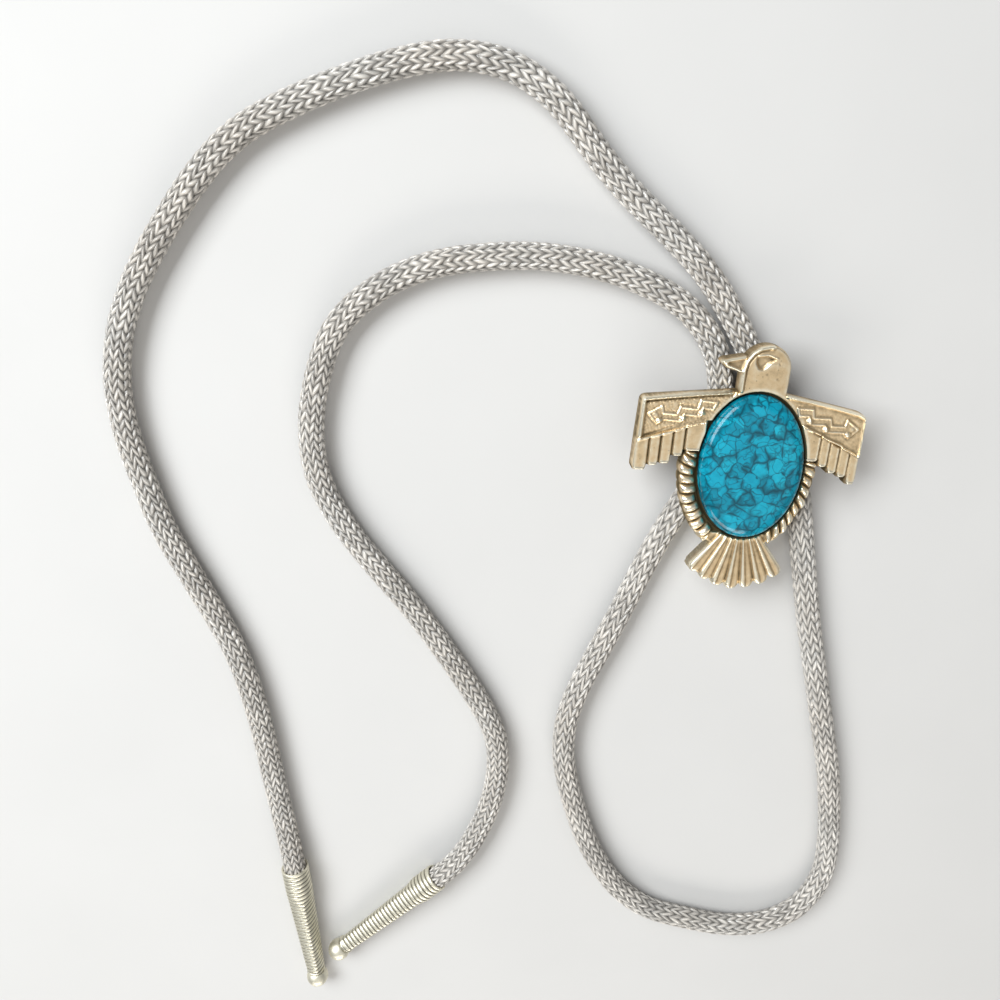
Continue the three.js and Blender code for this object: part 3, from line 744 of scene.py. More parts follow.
def stitch_height(column, row, way):
    """Height of the stitches that lean one way: 1 on their crowns, 0 at their edges and less beyond them.

    They fill every second column, and a row climbs across its column. A stitch is plump and blunt: 1 less the
    square of the place across it and the cube of the place along it, each in its half size.
    """
    start = 0.5 if way > 0 else 1.5
    across = way * (2 * ((column - start + 1) / 2 % 1) - 1)
    wide = ((row + STITCH_SLOPE * across) % 1 - 0.5) / STITCH_HALF_WIDTH
    return 1 - wide**2 - np.abs(across / STITCH_HALF_LENGTH) ** STITCH_BLUNTNESS


def wandered(places, waves, turn, row):
    """Places shifted by a sum of waves that run round the cord and turn slowly along it."""
    return places + sum(
        size * np.sin(2 * np.pi * around * turn + twist * row) for size, around, twist in waves
    )


def braid_surface(line, cord):
    """Rings of a braid along a line: the cord's radius less the depth times 1 less the higher stitch.

    Returns the points, the columns and the rows, with one more column than the rings have.
    """
    around = POINTS_PER_COLUMN * cord.columns
    turn, ring = np.meshgrid(np.arange(around + 1) / around, np.arange(len(line)) / RINGS_PER_REPEAT)
    column = wandered(cord.columns * turn, COLUMN_WANDER, turn, ring)
    row = wandered(ring, ROW_WANDER, turn, ring)
    height = np.clip(np.maximum(stitch_height(column, row, 1), stitch_height(column, row, -1)), 0, 1)
    radius = CORD_RADIUS - cord.depth / MM * (1 - height)
    heading = np.gradient(line, axis=0)
    heading /= np.linalg.norm(heading, axis=1, keepdims=True)
    side, lift = side_and_lift(heading)
    angle = 2 * np.pi * turn[..., None] - np.pi / 2
    outward = np.cos(angle) * side[:, None] + np.sin(angle) * lift[:, None]
    return line[:, None] + radius[..., None] * outward, column, row


def cord_piece(name, route, repeat, cord, finish, exit_place):
    """One stretch of braided cord with closed ends along its route."""
    line = smooth_route(route, repeat / MM / RINGS_PER_REPEAT)
    points, column, row = braid_surface(line, cord)
    piece = tube_piece(name, points[:, :-1], line[[0, -1]])
    corners = ring_quads(len(points), points.shape[1] - 1)
    stitches = np.zeros((len(piece.data.loops), 2), np.float32)
    stitches[:corners[0].size] = np.stack([column[corners], row[corners]], -1).reshape(-1, 2)
    layer = piece.data.uv_layers.new(name="stitches")
    layer.data.foreach_set("uv", stitches.ravel())
    stand_for(piece, name.replace("braid_", "cord_"), finish)
    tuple(exit_place)


def meeting(place, way):
    """The first points of a stretch that starts in the clip, nearest first."""
    at, heading = np.array(place[0]), np.array(place[1])
    flat = [at + way * step * heading for step in MEET_STEPS]
    return [(x, y, MEET_HEIGHT) for x, y in flat]


def tip_axis(tip):
    mouth, further = np.array(tip[0]), np.array(tip[1])
    return mouth, (further - mouth) / np.linalg.norm(further - mouth)


def into_tip(tip):
    mouth, axis = tip_axis(tip)
    return [tuple(mouth + distance * axis) for distance in TIP_ENTRY]


def in_metres(place):
    return (place[0][0] * MM, place[0][1] * MM, MEET_HEIGHT * MM)


# Tips

def tip_profile(tip, first):
    """Radius against distance along a tip: socket, rolled mouth, tapered wound sleeve, neck and ball.

    Each row also has a share of winding, which is 0 on the plain parts, and a brightness: 0 in the socket and
    lower at the neck, as painted shade.
    """
    sleeve = np.linspace(first + MOUTH_LENGTH, WOUND_TO, tip.winds * ROWS_PER_WIND)
    taper = np.interp(sleeve, [SOCKET_DEPTH, WOUND_TO], [MOUTH_RADIUS, NECK_RADIUS])
    fade = np.clip(np.minimum(sleeve - sleeve[0], WOUND_TO - sleeve) / WIND_FADE, 0, 1)
    socket = [(SOCKET_RADIUS * 0.5, SOCKET_DEPTH), (SOCKET_RADIUS, SOCKET_DEPTH), (SOCKET_RADIUS, SOCKET_TO)]
    roll = np.linspace(np.pi, ROLL_END, MOUTH_ROWS)
    middle, half = (SOCKET_RADIUS + MOUTH_RADIUS) / 2, (MOUTH_RADIUS - SOCKET_RADIUS) / 2
    lip = MOUTH_LENGTH / 2
    mouth = np.stack([middle + half * np.cos(roll), first + lip - lip * np.sin(roll)], -1)
    neck = [(BALL_NECK + wider, WOUND_TO + past) for wider, past, _ in TIP_NECK]
    ball = np.linspace(np.pi - np.arcsin(BALL_NECK / BALL_RADIUS), BALL_END, BALL_ROWS)
    end = np.stack([BALL_RADIUS * np.sin(ball), BALL_CENTRE + BALL_RADIUS * np.cos(ball)], -1)
    profile = np.concatenate([socket, mouth, np.stack([taper, sleeve], -1), neck, end])
    winding = np.concatenate([np.zeros(len(socket) + len(mouth)), fade, np.zeros(len(neck) + len(end))])
    # Painted shade: the socket is dark and the neck darker than the sleeve
    bright = np.ones(len(profile))
    bright[:len(socket)] = 0.0
    bright[-len(neck) - len(end):-len(end)] = [row[2] for row in TIP_NECK]
    return profile[:, 0], profile[:, 1], winding, bright


def tip_piece(name, place, tip, finish):
    """A wound tip: the profile's radius less the groove between the winds of a wire, carried round the axis.

    Where the wire winds, the ring is a rounded square: 1 over the root of the summed powers of cosine and
    sine.
    """
    mouth, axis = tip_axis(place)
    first = place[2]
    radius, along, winding, bright = tip_profile(tip, first)
    turn = np.arange(TIP_AROUND) / TIP_AROUND
    pitch = (WOUND_TO - first) / tip.winds
    wire = rounded_top(along[:, None] / pitch - turn[None, :])
    groove = tip.wire / MM * winding[:, None] * (1 - wire)
    side, lift = side_and_lift(axis)
    angle = 2 * np.pi * turn[None, :, None]
    corner = angle[..., 0] - math.radians(TIP_EDGE_ANGLE)
    power = TIP_SQUARENESS
    square = (np.abs(np.cos(corner)) ** power + np.abs(np.sin(corner)) ** power) ** (-1 / power)
    section = 1 + winding[:, None] * (square - 1) * eased((along[:, None] - SOCKET_DEPTH) / TIP_EDGE_RISE)
    ring = (radius[:, None] * section - groove)[..., None] * (np.cos(angle) * side + np.sin(angle) * lift)
    points = mouth + along[:, None, None] * axis + ring
    ends = np.stack([mouth + SOCKET_DEPTH * axis, mouth + (BALL_CENTRE + BALL_RADIUS) * axis])
    piece = tube_piece(name, points, ends)
    # Tarnish in the grooves between the winds, and the painted shade of the socket and neck
    shine = bright[:, None] * np.where(winding[:, None] > 0.5, wire**2, 1.0)
    keep_values(piece, "wind", np.append(shine.ravel(), [0.0, 1.0]))
    stand_for(piece, name.replace("wound_", ""), finish)


# Casting

def rounded_outline(rows, steps=5):
    """Points of an outline; a row's third number rounds its corner with a short curve of that reach."""
    corners = np.array([row[:2] for row in rows], float)
    reach = np.array([row[2] if len(row) > 2 else 0.0 for row in rows])[:, None, None]
    to_last = np.roll(corners, 1, axis=0) - corners
    to_next = np.roll(corners, -1, axis=0) - corners
    to_last /= np.linalg.norm(to_last, axis=1, keepdims=True)
    to_next /= np.linalg.norm(to_next, axis=1, keepdims=True)
    t = np.linspace(0, 1, steps)[None, :, None]
    curve = corners[:, None] + reach * ((1 - t) ** 2 * to_last[:, None] + t**2 * to_next[:, None])
    curve = curve.reshape(-1, 2)
    apart = np.linalg.norm(curve - np.roll(curve, 1, axis=0), axis=1) > TINY
    return curve[apart]


def outline_distance(rows, x, y):
    """Distance to the nearest edge of a rounded outline, negative inside by the count of edges crossed."""
    corners = rounded_outline(rows)
    inside = np.zeros(x.shape, bool)
    for (ax, ay), (bx, by) in zip(corners, np.roll(corners, -1, axis=0)):
        rise = by - ay if abs(by - ay) > TINY else TINY
        inside ^= ((ay > y) != (by > y)) & (x < ax + (bx - ax) * (y - ay) / rise)
    nearest = line_distance([*corners, corners[0]], x, y)
    return np.where(inside, -nearest, nearest)


def line_distance(points, x, y):
    """Distance to the nearest stretch of an open line."""
    nearest = np.full(x.shape, np.inf)
    for (ax, ay), (bx, by) in zip(points[:-1], points[1:]):
        ex, ey = bx - ax, by - ay
        share = np.clip(((x - ax) * ex + (y - ay) * ey) / (ex * ex + ey * ey), 0, 1)
        nearest = np.minimum(nearest, np.hypot(x - ax - share * ex, y - ay - share * ey))
    return nearest


def away_from(middle, x, y):
    return np.hypot(x - middle[0], y - middle[1])


def oval_distance(x, y, middle, axes, turn=0.0):
    """Distance to an oval, from a point's scaled radius and the slope of that radius; negative inside."""
    c, s = math.cos(math.radians(turn)), math.sin(math.radians(turn))
    dx, dy = x - middle[0], y - middle[1]
    u, v = (c * dx + s * dy) / axes[0], (c * dy - s * dx) / axes[1]
    scaled = np.hypot(u, v) + TINY
    return scaled * (scaled - 1) / (np.hypot(u / axes[0], v / axes[1]) + TINY)


def eased(amount):
    amount = np.clip(amount, 0, 1)
    return amount * amount * (3 - 2 * amount)


def within(distance, softness):
    """1 inside an outline, 0 outside, eased over the softness across its edge."""
    return eased(0.5 - distance / softness)


def laid(height, distance, top, softness=0.3):
    """The surface with a form of that top height laid on it, or sunk into it, inside the outline."""
    return height + (top - height) * within(distance, softness)


def bell(distance, half):
    """1 on a line and 0 from half a width away: the square of 1 less the squared distance."""
    return np.clip(1 - (distance / half) ** 2, 0, 1) ** 2


def ridged(height, distance, half, top):
    """The surface with a rounded ridge along a line that rises to the top height there."""
    return height + np.clip(top - height, 0, None) * bell(distance, half)


def grooved(height, distance, half, depth):
    return height - depth * bell(distance, half)


def stroked(height, strokes, x, y):
    """The surface with strokes on it, each a ridge up to its top or, where that is below 0, a groove."""
    for line, half, top in strokes:
        distance = line_distance(line, x, y)
        height = ridged(height, distance, half, top) if top > 0 else grooved(height, distance, half, -top)
    return height


def wing_place(wing, points):
    return [(wing["side"] * point[0], *point[1:]) for point in points]


def lightning_place(wing, points):
    """Points of the lightning on a wing, with that wing's stretch and lift."""
    stretch, lift = wing["stretch"], wing["lift"]
    return wing_place(wing, [(out * stretch, up + out * lift, *rest) for out, up, *rest in points])


def diagonal_at(wing, out):
    """Where a wing's diagonal ridge runs, at a distance out from the body axis."""
    hem, inner = wing["hem"], wing["inner"]
    return inner[1] + (hem[1] - inner[1]) * (out - inner[0]) / (hem[0] - inner[0])


def feather_outline(wing, number, end):
    """One vane, down to its end; each but the outermost runs on under its longer neighbour."""
    outer, inner = wing["edges"][number], wing["edges"][number + 1]
    outer += FEATHER_OVERLAP if number else 0.0
    top = outer if number else wing["hem"][0]
    return wing_place(wing, [
        (top, diagonal_at(wing, top)), (outer, end, FEATHER_CORNER), (inner, end, FEATHER_CORNER),
        (inner, diagonal_at(wing, inner)),
    ])


def wing_outline(wing):
    return wing_place(wing, [wing["root"], wing["tip"], wing["hem"], wing["inner"], WING_FOOT])


def tail_feather_place(number, x, y):
    """Places along a tail feather and across it, its half width there, and the distance to its edge."""
    angle = math.radians((number - (TAIL_FEATHERS - 1) / 2) * TAIL_PITCH)
    dx, dy = x - TAIL_MIDDLE[0], y - TAIL_MIDDLE[1]
    along = dx * math.sin(angle) - dy * math.cos(angle)
    across = dx * math.cos(angle) + dy * math.sin(angle)
    shoulder = TAIL_REACH[number] - TAIL_END_HALF
    share = np.clip((along - TAIL_START) / (shoulder - TAIL_START), 0, 1)
    half = TAIL_ROOT_HALF + (TAIL_END_HALF - TAIL_ROOT_HALF) * share
    past = np.clip(along - shoulder, 0, None)
    return along, across, half, np.hypot(across, past) - half


def rope_place(x, y):
    """Distance from the rope's oval, the way along it, and how much of the rope is there, from 0 to 1."""
    off = oval_distance(x, y, BODY_MIDDLE, ROPE_AXES)
    angle = np.degrees(np.arctan2((y - BODY_MIDDLE[1]) / ROPE_AXES[1], (x - BODY_MIDDLE[0]) / ROPE_AXES[0]))
    turned = np.where(angle < -90, angle + 360, angle)
    marks = np.radians(np.linspace(-90, 270, ROPE_MARKS))
    pace = np.hypot(ROPE_AXES[0] * np.sin(marks), ROPE_AXES[1] * np.cos(marks)) * (marks[1] - marks[0])
    along = np.interp(turned, np.degrees(marks), np.cumsum(pace))
    there = np.zeros(x.shape)
    for first, last in ROPE_SPANS:
        begun, ended = (turned - first) / ROPE_SPAN_EASE, (last - turned) / ROPE_SPAN_EASE
        there = np.maximum(there, eased(begun + 0.5) * eased(ended + 0.5))
    return off, along, there


def rope_swell(off, along):
    """The rope's twist: a half round over each strand, which runs across the rope at a slant."""
    return rounded_top((along + ROPE_SLANT * off) / ROPE_PITCH)


def bird_edge(x, y):
    """Distance to the casting's outer edge: the nearest of its forms, negative inside."""
    body = oval_distance(x, y, BODY_MIDDLE, BODY_INNER)
    ledge = np.maximum(oval_distance(x, y, BODY_MIDDLE, BODY_OUTER), y - SHOULDER)
    off, along, there = rope_place(x, y)
    scallop = ROPE_SCALLOP * (1 - rope_swell(off, along))
    rope = np.abs(off) - ROPE_HALF + scallop + ROPE_DRAW_BACK * (1 - there)
    head = away_from(HEAD_MIDDLE, x, y) - HEAD_RADIUS
    neck = np.maximum(np.abs(x - HEAD_MIDDLE[0]) - HEAD_RADIUS, np.maximum(y - HEAD_MIDDLE[1], NECK_FOOT - y))
    edge = np.minimum.reduce([body, ledge, rope, head, neck, outline_distance(BEAK, x, y)])
    for wing in WINGS:
        edge = np.minimum(edge, outline_distance(wing_outline(wing), x, y))
        for number, end in enumerate(wing["ends"]):
            edge = np.minimum(edge, outline_distance(feather_outline(wing, number, end - FEATHER_LIP), x, y))
    reach = away_from(TAIL_MIDDLE, x, y)
    spread = np.abs(np.degrees(np.arctan2(x - TAIL_MIDDLE[0], TAIL_MIDDLE[1] - y)))
    fan = np.maximum(reach - TAIL_WEB_REACH, (spread - TAIL_WEB_PITCHES * TAIL_PITCH) * np.pi / 180 * reach)
    edge = np.minimum(edge, fan)
    for number in range(TAIL_FEATHERS):
        along, _, _, distance = tail_feather_place(number, x, y)
        edge = np.minimum(edge, np.where(along > TAIL_START, distance, FAR))
    return edge


def dented(x, y):
    """Dents of a beaten ground, from -1 to 1: the product of two waves, each bent by a wave the other way."""
    (a, b, c), (d, e, f) = DENT_WAVES
    return np.sin(a * x + b * np.sin(c * y)) * np.sin(d * y + e * np.sin(f * x))


def wing_relief(height, wing, x, y):
    """A wing on the surface: sunk, dented field, feathers, diagonal ridge, edged lightning, and rims.

    The feathers are one raised border round all vanes, parted by thin grooves; a vane may have a lip at its
    right edge.
    """
    outline = outline_distance(wing_outline(wing), x, y)
    dents = wing["dents"] * dented(x, y) * within(outline + DENTS_INSET, DENTS_INSET)
    height = laid(height, outline, FIELD) - dents
    vanes = np.minimum.reduce([
        outline_distance(feather_outline(wing, number, end), x, y) for number, end in enumerate(wing["ends"])
    ])
    height = laid(height, vanes, FEATHER, VANE_SOFTNESS)
    below = eased((diagonal_at(wing, np.abs(x)) - y) / VANE_TOP_SOFTNESS) * within(vanes, VANE_SOFTNESS)
    for edge in wing["edges"][1:-1]:
        beside = x - wing["side"] * edge
        height = height - below * wing["parting"] * bell(beside, PARTING_HALF)
        height = height + below * wing["vane_lip"] * bell(beside + VANE_LIP_BESIDE, VANE_LIP_HALF)
    for number, end in enumerate(wing["ends"]):
        outer, inner = wing["edges"][number] - VANE_END_INSET, wing["edges"][number + 1] + VANE_END_INSET
        lip = line_distance(wing_place(wing, [(outer, end), (inner, end)]), x, y)
        height = ridged(height, lip, VANE_END_HALF, FEATHER + VANE_END_RISE)
    rim = line_distance(wing["rims"][0][0], x, y)
    height = grooved(height, rim - UNDER_RIM_BESIDE, UNDER_RIM_HALF, wing["under_rim"])
    height = stroked(height, wing["strokes"], x, y)
    bolt = outline_distance(lightning_place(wing, LIGHTNING), x, y)
    height = grooved(height, bolt - LIGHTNING_BESIDE, LIGHTNING_BED_HALF, LIGHTNING_BED_DEPTH)
    height = ridged(height, bolt + LIGHTNING_BESIDE, LIGHTNING_HALF, LIGHTNING_EDGE)
    for knob in lightning_place(wing, LIGHTNING_KNOBS):
        height = ridged(height, away_from(knob, x, y), KNOB_HALF, knob[2])
    return stroked(height, wing["rims"], x, y)


def head_relief(height, x, y):
    """The head on the surface: a slightly domed face, the beak, a band, and a sunk eye under its lids."""
    away = np.hypot(x - HEAD_MIDDLE[0], np.maximum(y - HEAD_MIDDLE[1], 0))
    face = np.maximum(away - HEAD_RADIUS, NECK_FOOT - y)
    height = laid(height, face, FIELD + FACE_DOME * (1 - np.clip(away / HEAD_RADIUS, 0, 1) ** 2))
    height = laid(height, outline_distance(BEAK, x, y), BEAK_HOLLOW)
    height = stroked(height, HEAD_STROKES, x, y)
    height = laid(height, outline_distance(EYE, x, y), FIELD - EYE_DEPTH, EYE_SOFTNESS)
    height = stroked(height, EYE_LIDS, x, y)
    for pit in FACE_PITS:
        height = grooved(height, away_from(pit, x, y), PIT_HALF, PIT_DEPTH)
    return height


def tail_relief(height, x, y):
    """The tail on the surface: each feather's section, high at its left edge and rounded off at its end."""
    places, tops = zip(*TAIL_SECTION)
    for number in range(TAIL_FEATHERS):
        along, across, half, distance = tail_feather_place(number, x, y)
        section = np.interp(across / half, places, tops)
        shoulder = TAIL_REACH[number] - TAIL_END_HALF
        past = np.clip((TAIL_ROUNDING + distance) / TAIL_ROUNDING, 0, 1) * (along > shoulder)
        top = TAIL_WEB + (section - TAIL_WEB) * np.sqrt(1 - TAIL_END_FALL * past**2)
        height = np.where((distance < 0) & (along > TAIL_START), np.maximum(height, top), height)
    return height


def rope_relief(height, x, y):
    """The rope on the surface: uneven half rounds across it, sunk between the strands."""
    off, along, there = rope_place(x, y)
    strand = np.floor((along + ROPE_SLANT * off) / ROPE_PITCH)
    sway = ROPE_SWAY[0] * np.sin(ROPE_SWAY[1] * strand)
    round_top = np.sqrt(np.clip(1 - ((off + sway) / ROPE_HALF) ** 2, 0, 1))
    plump = 1 - ROPE_THINNING[0] * np.sin(ROPE_THINNING[1] * strand) ** 2
    swell = ROPE_VALLEY + (1 - ROPE_VALLEY) * rope_swell(off, along)
    top = SETTING + (RIM + ROPE_CREST - SETTING) * round_top * plump * swell
    return np.maximum(height, SETTING + (top - SETTING) * there)


def bird_relief(x, y):
    """Height of the casting's face above its back: web and setting, what is laid on it, and the pocket."""
    height = np.full(x.shape, WEB)
    height = laid(height, oval_distance(x, y, BODY_MIDDLE, BODY_OUTER), SETTING)
    reach = away_from(TAIL_MIDDLE, x, y)
    height = np.where((reach > TAIL_START) & (y < TAIL_WEB_BELOW), TAIL_WEB, height)
    height = tail_relief(height, x, y)
    for wing in WINGS:
        height = wing_relief(height, wing, x, y)
    height = head_relief(height, x, y)
    height = rope_relief(height, x, y)
    return laid(height, stone_edge(x, y) - STONE_GAP, POCKET_FLOOR)


def stone_edge(x, y):
    return oval_distance(x, y, STONE_MIDDLE, STONE_AXES, STONE_TURN)


def running_mean(height, reach):
    """Mean over a square of that many cells each way, from running totals along both directions."""
    span = 2 * reach + 1
    for _ in range(2):
        total = np.cumsum(np.pad(height, [(reach + 1, reach), (0, 0)], mode="edge"), axis=0)
        height = ((total[span:] - total[:-span]) / span).T
    return height


def casting_surface(bevel):
    """The casting's face on a square grid whose points near the outer edge are moved on to it.

    A point within a share of a cell of the edge moves along the distance's slope by the distance. Cells
    with all corners inside become quads, and those with three become triangles. The height is the relief,
    softened a little, and rounded down before the edge. Wear is the height less the mean height around it,
    with a painted shade along the edge that in the tail is a painted highlight. Returns points, wear, quads
    and triangles.
    """
    x, y = np.meshgrid(np.arange(*GRID_X, GRID_CELL), np.arange(*GRID_Y, GRID_CELL))
    held = np.zeros(x.shape, bool)
    for _ in range(2):
        edge = bird_edge(x, y)
        slope_y, slope_x = np.gradient(edge, GRID_CELL)
        steep = np.maximum(np.hypot(slope_x, slope_y), LEAST_SLOPE) ** 2
        near = np.abs(edge) < GRID_PULL * GRID_CELL
        x = np.where(near, x - edge * slope_x / steep, x)
        y = np.where(near, y - edge * slope_y / steep, y)
        held |= near
    edge = np.where(held, 0.0, bird_edge(x, y))
    inside = edge <= 0
    height = running_mean(bird_relief(x, y), 1)
    wear = height - running_mean(running_mean(height, WEAR_REACH), WEAR_REACH)
    # Along the outer edge a painted shade, and in the tail a painted highlight
    wear = wear + np.where(y < TAIL_FROM, TAIL_EDGE_HIGHLIGHT, EDGE_SHADE) * np.clip(1 + edge / EDGE_WIDTH, 0, 1)
    rounding = np.sqrt(np.clip(1 - (1 - np.clip(-edge / BEVEL_WIDTH, 0, 1)) ** 2, 0, 1))
    height = height - bevel / MM * (1 - rounding)
    number = np.arange(x.size).reshape(x.shape)
    corners = [number[:-1, :-1], number[:-1, 1:], number[1:, 1:], number[1:, :-1]]
    corners = np.stack(corners, -1).reshape(-1, 4)
    in_corner = inside.ravel()[corners]
    middle = edge.ravel()[corners].mean(axis=1) < -GRID_SLIVER * GRID_CELL
    middle &= stone_edge(x, y).ravel()[corners].max(axis=1) > -POCKET_PLAIN
    quads = corners[in_corner.all(axis=1) & middle]
    three = (in_corner.sum(axis=1) == 3) & middle
    triangles = corners[three][in_corner[three]].reshape(-1, 3)
    points = np.stack([x.ravel() + BODY_AT[0], y.ravel() + BODY_AT[1], CAST_BACK + height.ravel()], -1)
    used, quads, triangles = only_used(quads, triangles)
    return points[used], wear.ravel()[used], quads, triangles


def only_used(quads, triangles):
    """The numbers of the points that faces use, and the faces with the points numbered anew."""
    used, again = np.unique(np.concatenate([quads.ravel(), triangles.ravel()]), return_inverse=True)
    again = again.ravel()
    return used, again[:quads.size].reshape(-1, 4), again[quads.size:].reshape(-1, 3)


def outer_edges(quads, triangles):
    """Edges that only one face has, in that face's direction."""
    edges = [np.stack([faces, np.roll(faces, -1, axis=1)], -1).reshape(-1, 2) for faces in (quads, triangles)]
    edges = np.concatenate(edges)
    _, first, count = np.unique(np.sort(edges, axis=1), axis=0, return_index=True, return_counts=True)
    return edges[first[count == 1]]


def casting_piece(casting, finish):
    """The casting: its face, a wall down from each outer edge, and a flat back and pocket floor in between.

    Painted shade lowers its level of wear where the face is sunk, and beside the pocket: fully to half a
    width, and not past one and a half. Its walls get a painted shade, and in the tail a painted highlight.
    """
    points, wear, quads, triangles = casting_surface(casting.bevel)
    edges = outer_edges(quads, triangles)
    x, y = points[:, 0] - BODY_AT[0], points[:, 1] - BODY_AT[1]
    pocket = stone_edge(x, y)
    edges = edges[pocket[edges[:, 0]] > 0]
    rim = np.unique(edges)
    foot = np.searchsorted(rim, edges) + len(points)
    sides = np.stack([edges[:, 1], edges[:, 0], foot[:, 0], foot[:, 1]], -1)
    feet = points[rim].copy()
    feet[:, 2] = CAST_BACK
    every_point, every_quad = np.concatenate([points, feet]), np.concatenate([quads, sides])
    piece = make_piece("bird_slide", every_point, every_quad, triangles)
    # Painted shade: darker where the face is sunk below the web and beside the pocket
    sunk = np.clip(CAST_BACK + WEB - points[:, 2], 0, None)
    width = POCKET_SHADE_WIDTH + POCKET_SHADE_AT_ROPE * rope_place(x, y)[2]
    beside = np.clip(1.5 - (pocket - STONE_GAP) / width, 0, 1)
    level = np.clip(0.5 + wear / WEAR_RANGE - SUNK_SHADE * sunk - POCKET_SHADE * beside, 0, 1)
    # The walls get a painted shade, and in the tail a painted highlight
    walls = np.where(feet[:, 1] < TAIL_FROM, TAIL_WALL_HIGHLIGHT, WALL_SHADE)
    keep_values(piece, "wear", np.append(level, walls))
    shell = bmesh.new()
    shell.from_mesh(piece.data)
    bmesh.ops.holes_fill(shell, edges=[edge for edge in shell.edges if edge.is_boundary], sides=0)
    bmesh.ops.recalc_face_normals(shell, faces=shell.faces)
    shell.to_mesh(piece.data)
    shell.free()
    piece.data.set_sharp_from_angle(angle=math.radians(SHARP_ANGLE))
    stand_for(piece, "bird_casting", finish)


# Stone

def stone_piece(stone, finish):
    """The stone: an upright girdle under a flat-topped dome, carried round the oval.

    The dome's inset and rise are the cosine and sine of one angle, both raised to the same power below 1.
    """
    wall, top = STONE_WALL, stone.height / MM
    climb = np.linspace(0, np.pi / 2, STONE_ROWS, endpoint=False)
    inset, rise = np.cos(climb) ** STONE_SQUARENESS, np.sin(climb) ** STONE_SQUARENESS
    profile = np.concatenate([STONE_FOOT, np.stack([inset, wall + (top - wall) * rise], -1)])
    angle = 2 * np.pi * np.arange(STONE_AROUND) / STONE_AROUND
    u = STONE_AXES[0] * profile[:, :1] * np.cos(angle)
    v = STONE_AXES[1] * profile[:, :1] * np.sin(angle)
    c, s = math.cos(math.radians(STONE_TURN)), math.sin(math.radians(STONE_TURN))
    base = CAST_BACK + POCKET_FLOOR + STONE_SEAT
    x0, y0 = BODY_AT[0] + STONE_MIDDLE[0], BODY_AT[1] + STONE_MIDDLE[1]
    points = np.stack([x0 + c * u - s * v, y0 + s * u + c * v, base + profile[:, 1:] + 0 * u], -1)
    ends = np.array([(x0, y0, base), (x0, y0, base + top)])
    piece = tube_piece("blue_stone", points, ends)
    stand_for(piece, "turquoise_cabochon", finish)


# Operators

class BOLO_OT_stage(Operator):
    """Lays the floor and sets the soft lights and the camera"""
    bl_idname = "bolo.stage"
    bl_label = "Stage"

    def execute(self, context):
        stage = context.scene.bolo_tie.stage
        mesh = bpy.data.meshes.new("floor")
        corners = [(x * FLOOR_HALF, y * FLOOR_HALF, 0) for x, y in ((-1, -1), (1, -1), (1, 1), (-1, 1))]
        mesh.from_pydata(corners, [], [(0, 1, 2, 3)])
        floor = bpy.data.objects.new("floor", mesh)
        context.scene.collection.objects.link(floor)
        mesh.materials.append(floor_finish(stage))
        for name, place, size, colour in LIGHTS:
            soft_light(name, place, size, getattr(stage, name), colour)
        world = bpy.data.worlds.new("soft_room")
        world.use_nodes = True
        room = world.node_tree.nodes["Background"]
        room.inputs["Color"].default_value = ROOM_COLOUR
        room.inputs["Strength"].default_value = stage.room
        context.scene.world = world
        context.scene.view_settings.view_transform = "Standard"
        lens = bpy.data.cameras.new("picture_camera")
        lens.lens = stage.lens
        lens.sensor_width = SENSOR_WIDTH
        camera = bpy.data.objects.new("picture_camera", lens)
        camera.location = CAMERA_PLACE
        camera.rotation_euler = [math.radians(angle) for angle in CAMERA_TURN]
        lens.clip_start = CAMERA_NEAR
        context.scene.collection.objects.link(camera)
        context.scene.camera = camera
        return {"FINISHED"}


def soft_light(name, place, size, power, colour):
    """A soft light of that width and height at a place, turned towards the middle of the tie."""
    lamp = bpy.data.lights.new(name, "AREA")
    lamp.shape = "RECTANGLE"
    lamp.size, lamp.size_y = size
    lamp.energy = power
    lamp.color = colour
    light = bpy.data.objects.new(name, lamp)
    light.location = place
    way = light.location - Vector(LIGHTS_AIM)
    light.rotation_euler = way.to_track_quat("Z", "Y").to_euler()
    bpy.context.scene.collection.objects.link(light)


class BOLO_OT_tips(Operator):
    """Turns the two wound tips"""
    bl_idname = "bolo.tips"
    bl_label = "Tips"

    def execute(self, context):
        tip = context.scene.bolo_tie.tip
        finish = tip_finish(tip)
        tip_piece("wound_tip_outer", TIP_OUTER, tip, finish)
        tip_piece("wound_tip_inner", TIP_INNER, tip, finish)
        return {"FINISHED"}


class BOLO_OT_cords(Operator):
    """Braids the two free runs, which end in the tips, and the neck loop"""
    bl_idname = "bolo.cords"
    bl_label = "Cords"

    def execute(self, context):
        cord = context.scene.bolo_tie.cord
        finish = braid_finish(cord)
        left, right = in_metres(MEET_LEFT), in_metres(MEET_RIGHT)
        outer = meeting(MEET_RIGHT, 1) + OUTER_RUN + into_tip(TIP_OUTER)
        inner = meeting(MEET_LEFT, 1) + INNER_RUN + into_tip(TIP_INNER)
        loop = meeting(MEET_LEFT, -1) + NECK_LOOP + meeting(MEET_RIGHT, -1)[::-1]
        cord_piece("braid_outer_run", outer, cord.repeat, cord, finish, right)
        cord_piece("braid_inner_run", inner, cord.repeat, cord, finish, left)
        cord_piece("braid_neck_loop", loop, cord.loop_repeat, cord, finish, left)
        return {"FINISHED"}


class BOLO_OT_casting(Operator):
    """Casts the bird slide"""
    bl_idname = "bolo.casting"
    bl_label = "Bird casting"

    def execute(self, context):
        casting = context.scene.bolo_tie.casting
        casting_piece(casting, casting_finish(casting))
        return {"FINISHED"}


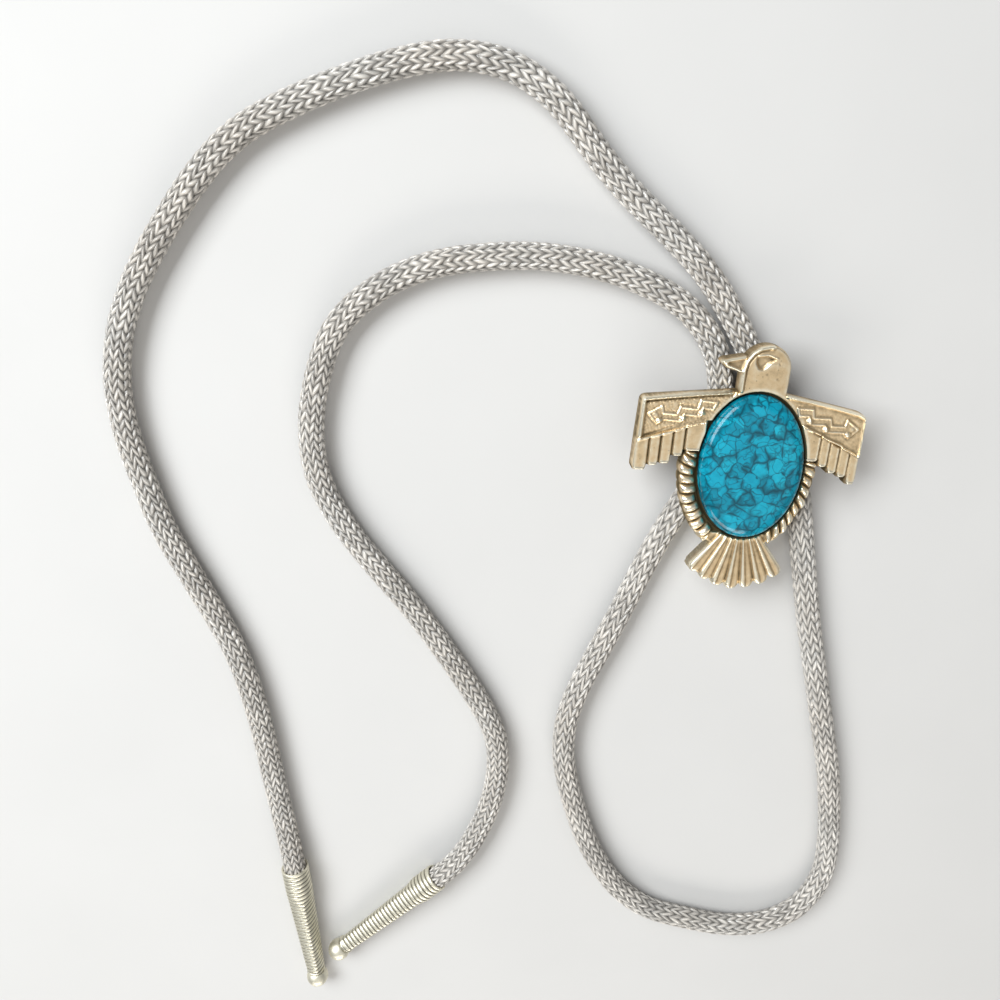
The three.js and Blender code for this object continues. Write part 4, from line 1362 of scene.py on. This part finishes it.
class BOLO_OT_stone(Operator):
    """Sets the oval stone in the bird"""
    bl_idname = "bolo.stone"
    bl_label = "Stone"

    def execute(self, context):
        stone = context.scene.bolo_tie.stone
        stone_piece(stone, stone_finish(stone))
        return {"FINISHED"}


class BOLO_OT_clip(Operator):
    """Gives the clip behind the bird its steel"""
    bl_idname = "bolo.clip"
    bl_label = "Clip"

    def execute(self, context):
        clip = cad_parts["cord_clip"]
        clip.data.materials.clear()
        clip.data.materials.append(clip_finish(context.scene.bolo_tie.clip))
        return {"FINISHED"}


class BOLO_PT_pieces(Panel):
    """The tie's pieces in the order that they are made"""
    bl_idname = "BOLO_PT_pieces"
    bl_label = "Bolo tie"
    bl_space_type = "VIEW_3D"
    bl_region_type = "UI"
    bl_category = "Bolo tie"

    def draw(self, context):
        tie = context.scene.bolo_tie
        for operator, group in ORDER:
            self.layout.operator(operator)
            box = self.layout.box()
            settings = getattr(tie, group)
            for name in settings.bl_rna.properties.keys():
                if name not in {"rna_type", "name"}:
                    box.prop(settings, name)


ORDER = [
    ("bolo.stage", "stage"), ("bolo.tips", "tip"), ("bolo.cords", "cord"), ("bolo.casting", "casting"),
    ("bolo.stone", "stone"), ("bolo.clip", "clip"),
]
CLASSES = [
    CordSettings, TipSettings, CastingSettings, StoneSettings, ClipSettings, StageSettings, BoloTieSettings,
    BOLO_OT_stage, BOLO_OT_tips, BOLO_OT_cords, BOLO_OT_casting, BOLO_OT_stone, BOLO_OT_clip, BOLO_PT_pieces,
]


def register():
    for each in CLASSES:
        bpy.utils.register_class(each)
    bpy.types.Scene.bolo_tie = PointerProperty(type=BoloTieSettings)


def unregister():
    del bpy.types.Scene.bolo_tie
    for each in reversed(CLASSES):
        bpy.utils.unregister_class(each)


def main():
    register()
    bpy.ops.bolo.stage()
    bpy.ops.bolo.tips()
    bpy.ops.bolo.cords()
    bpy.ops.bolo.casting()
    bpy.ops.bolo.stone()
    bpy.ops.bolo.clip()


if __name__ == "__main__":
    main()
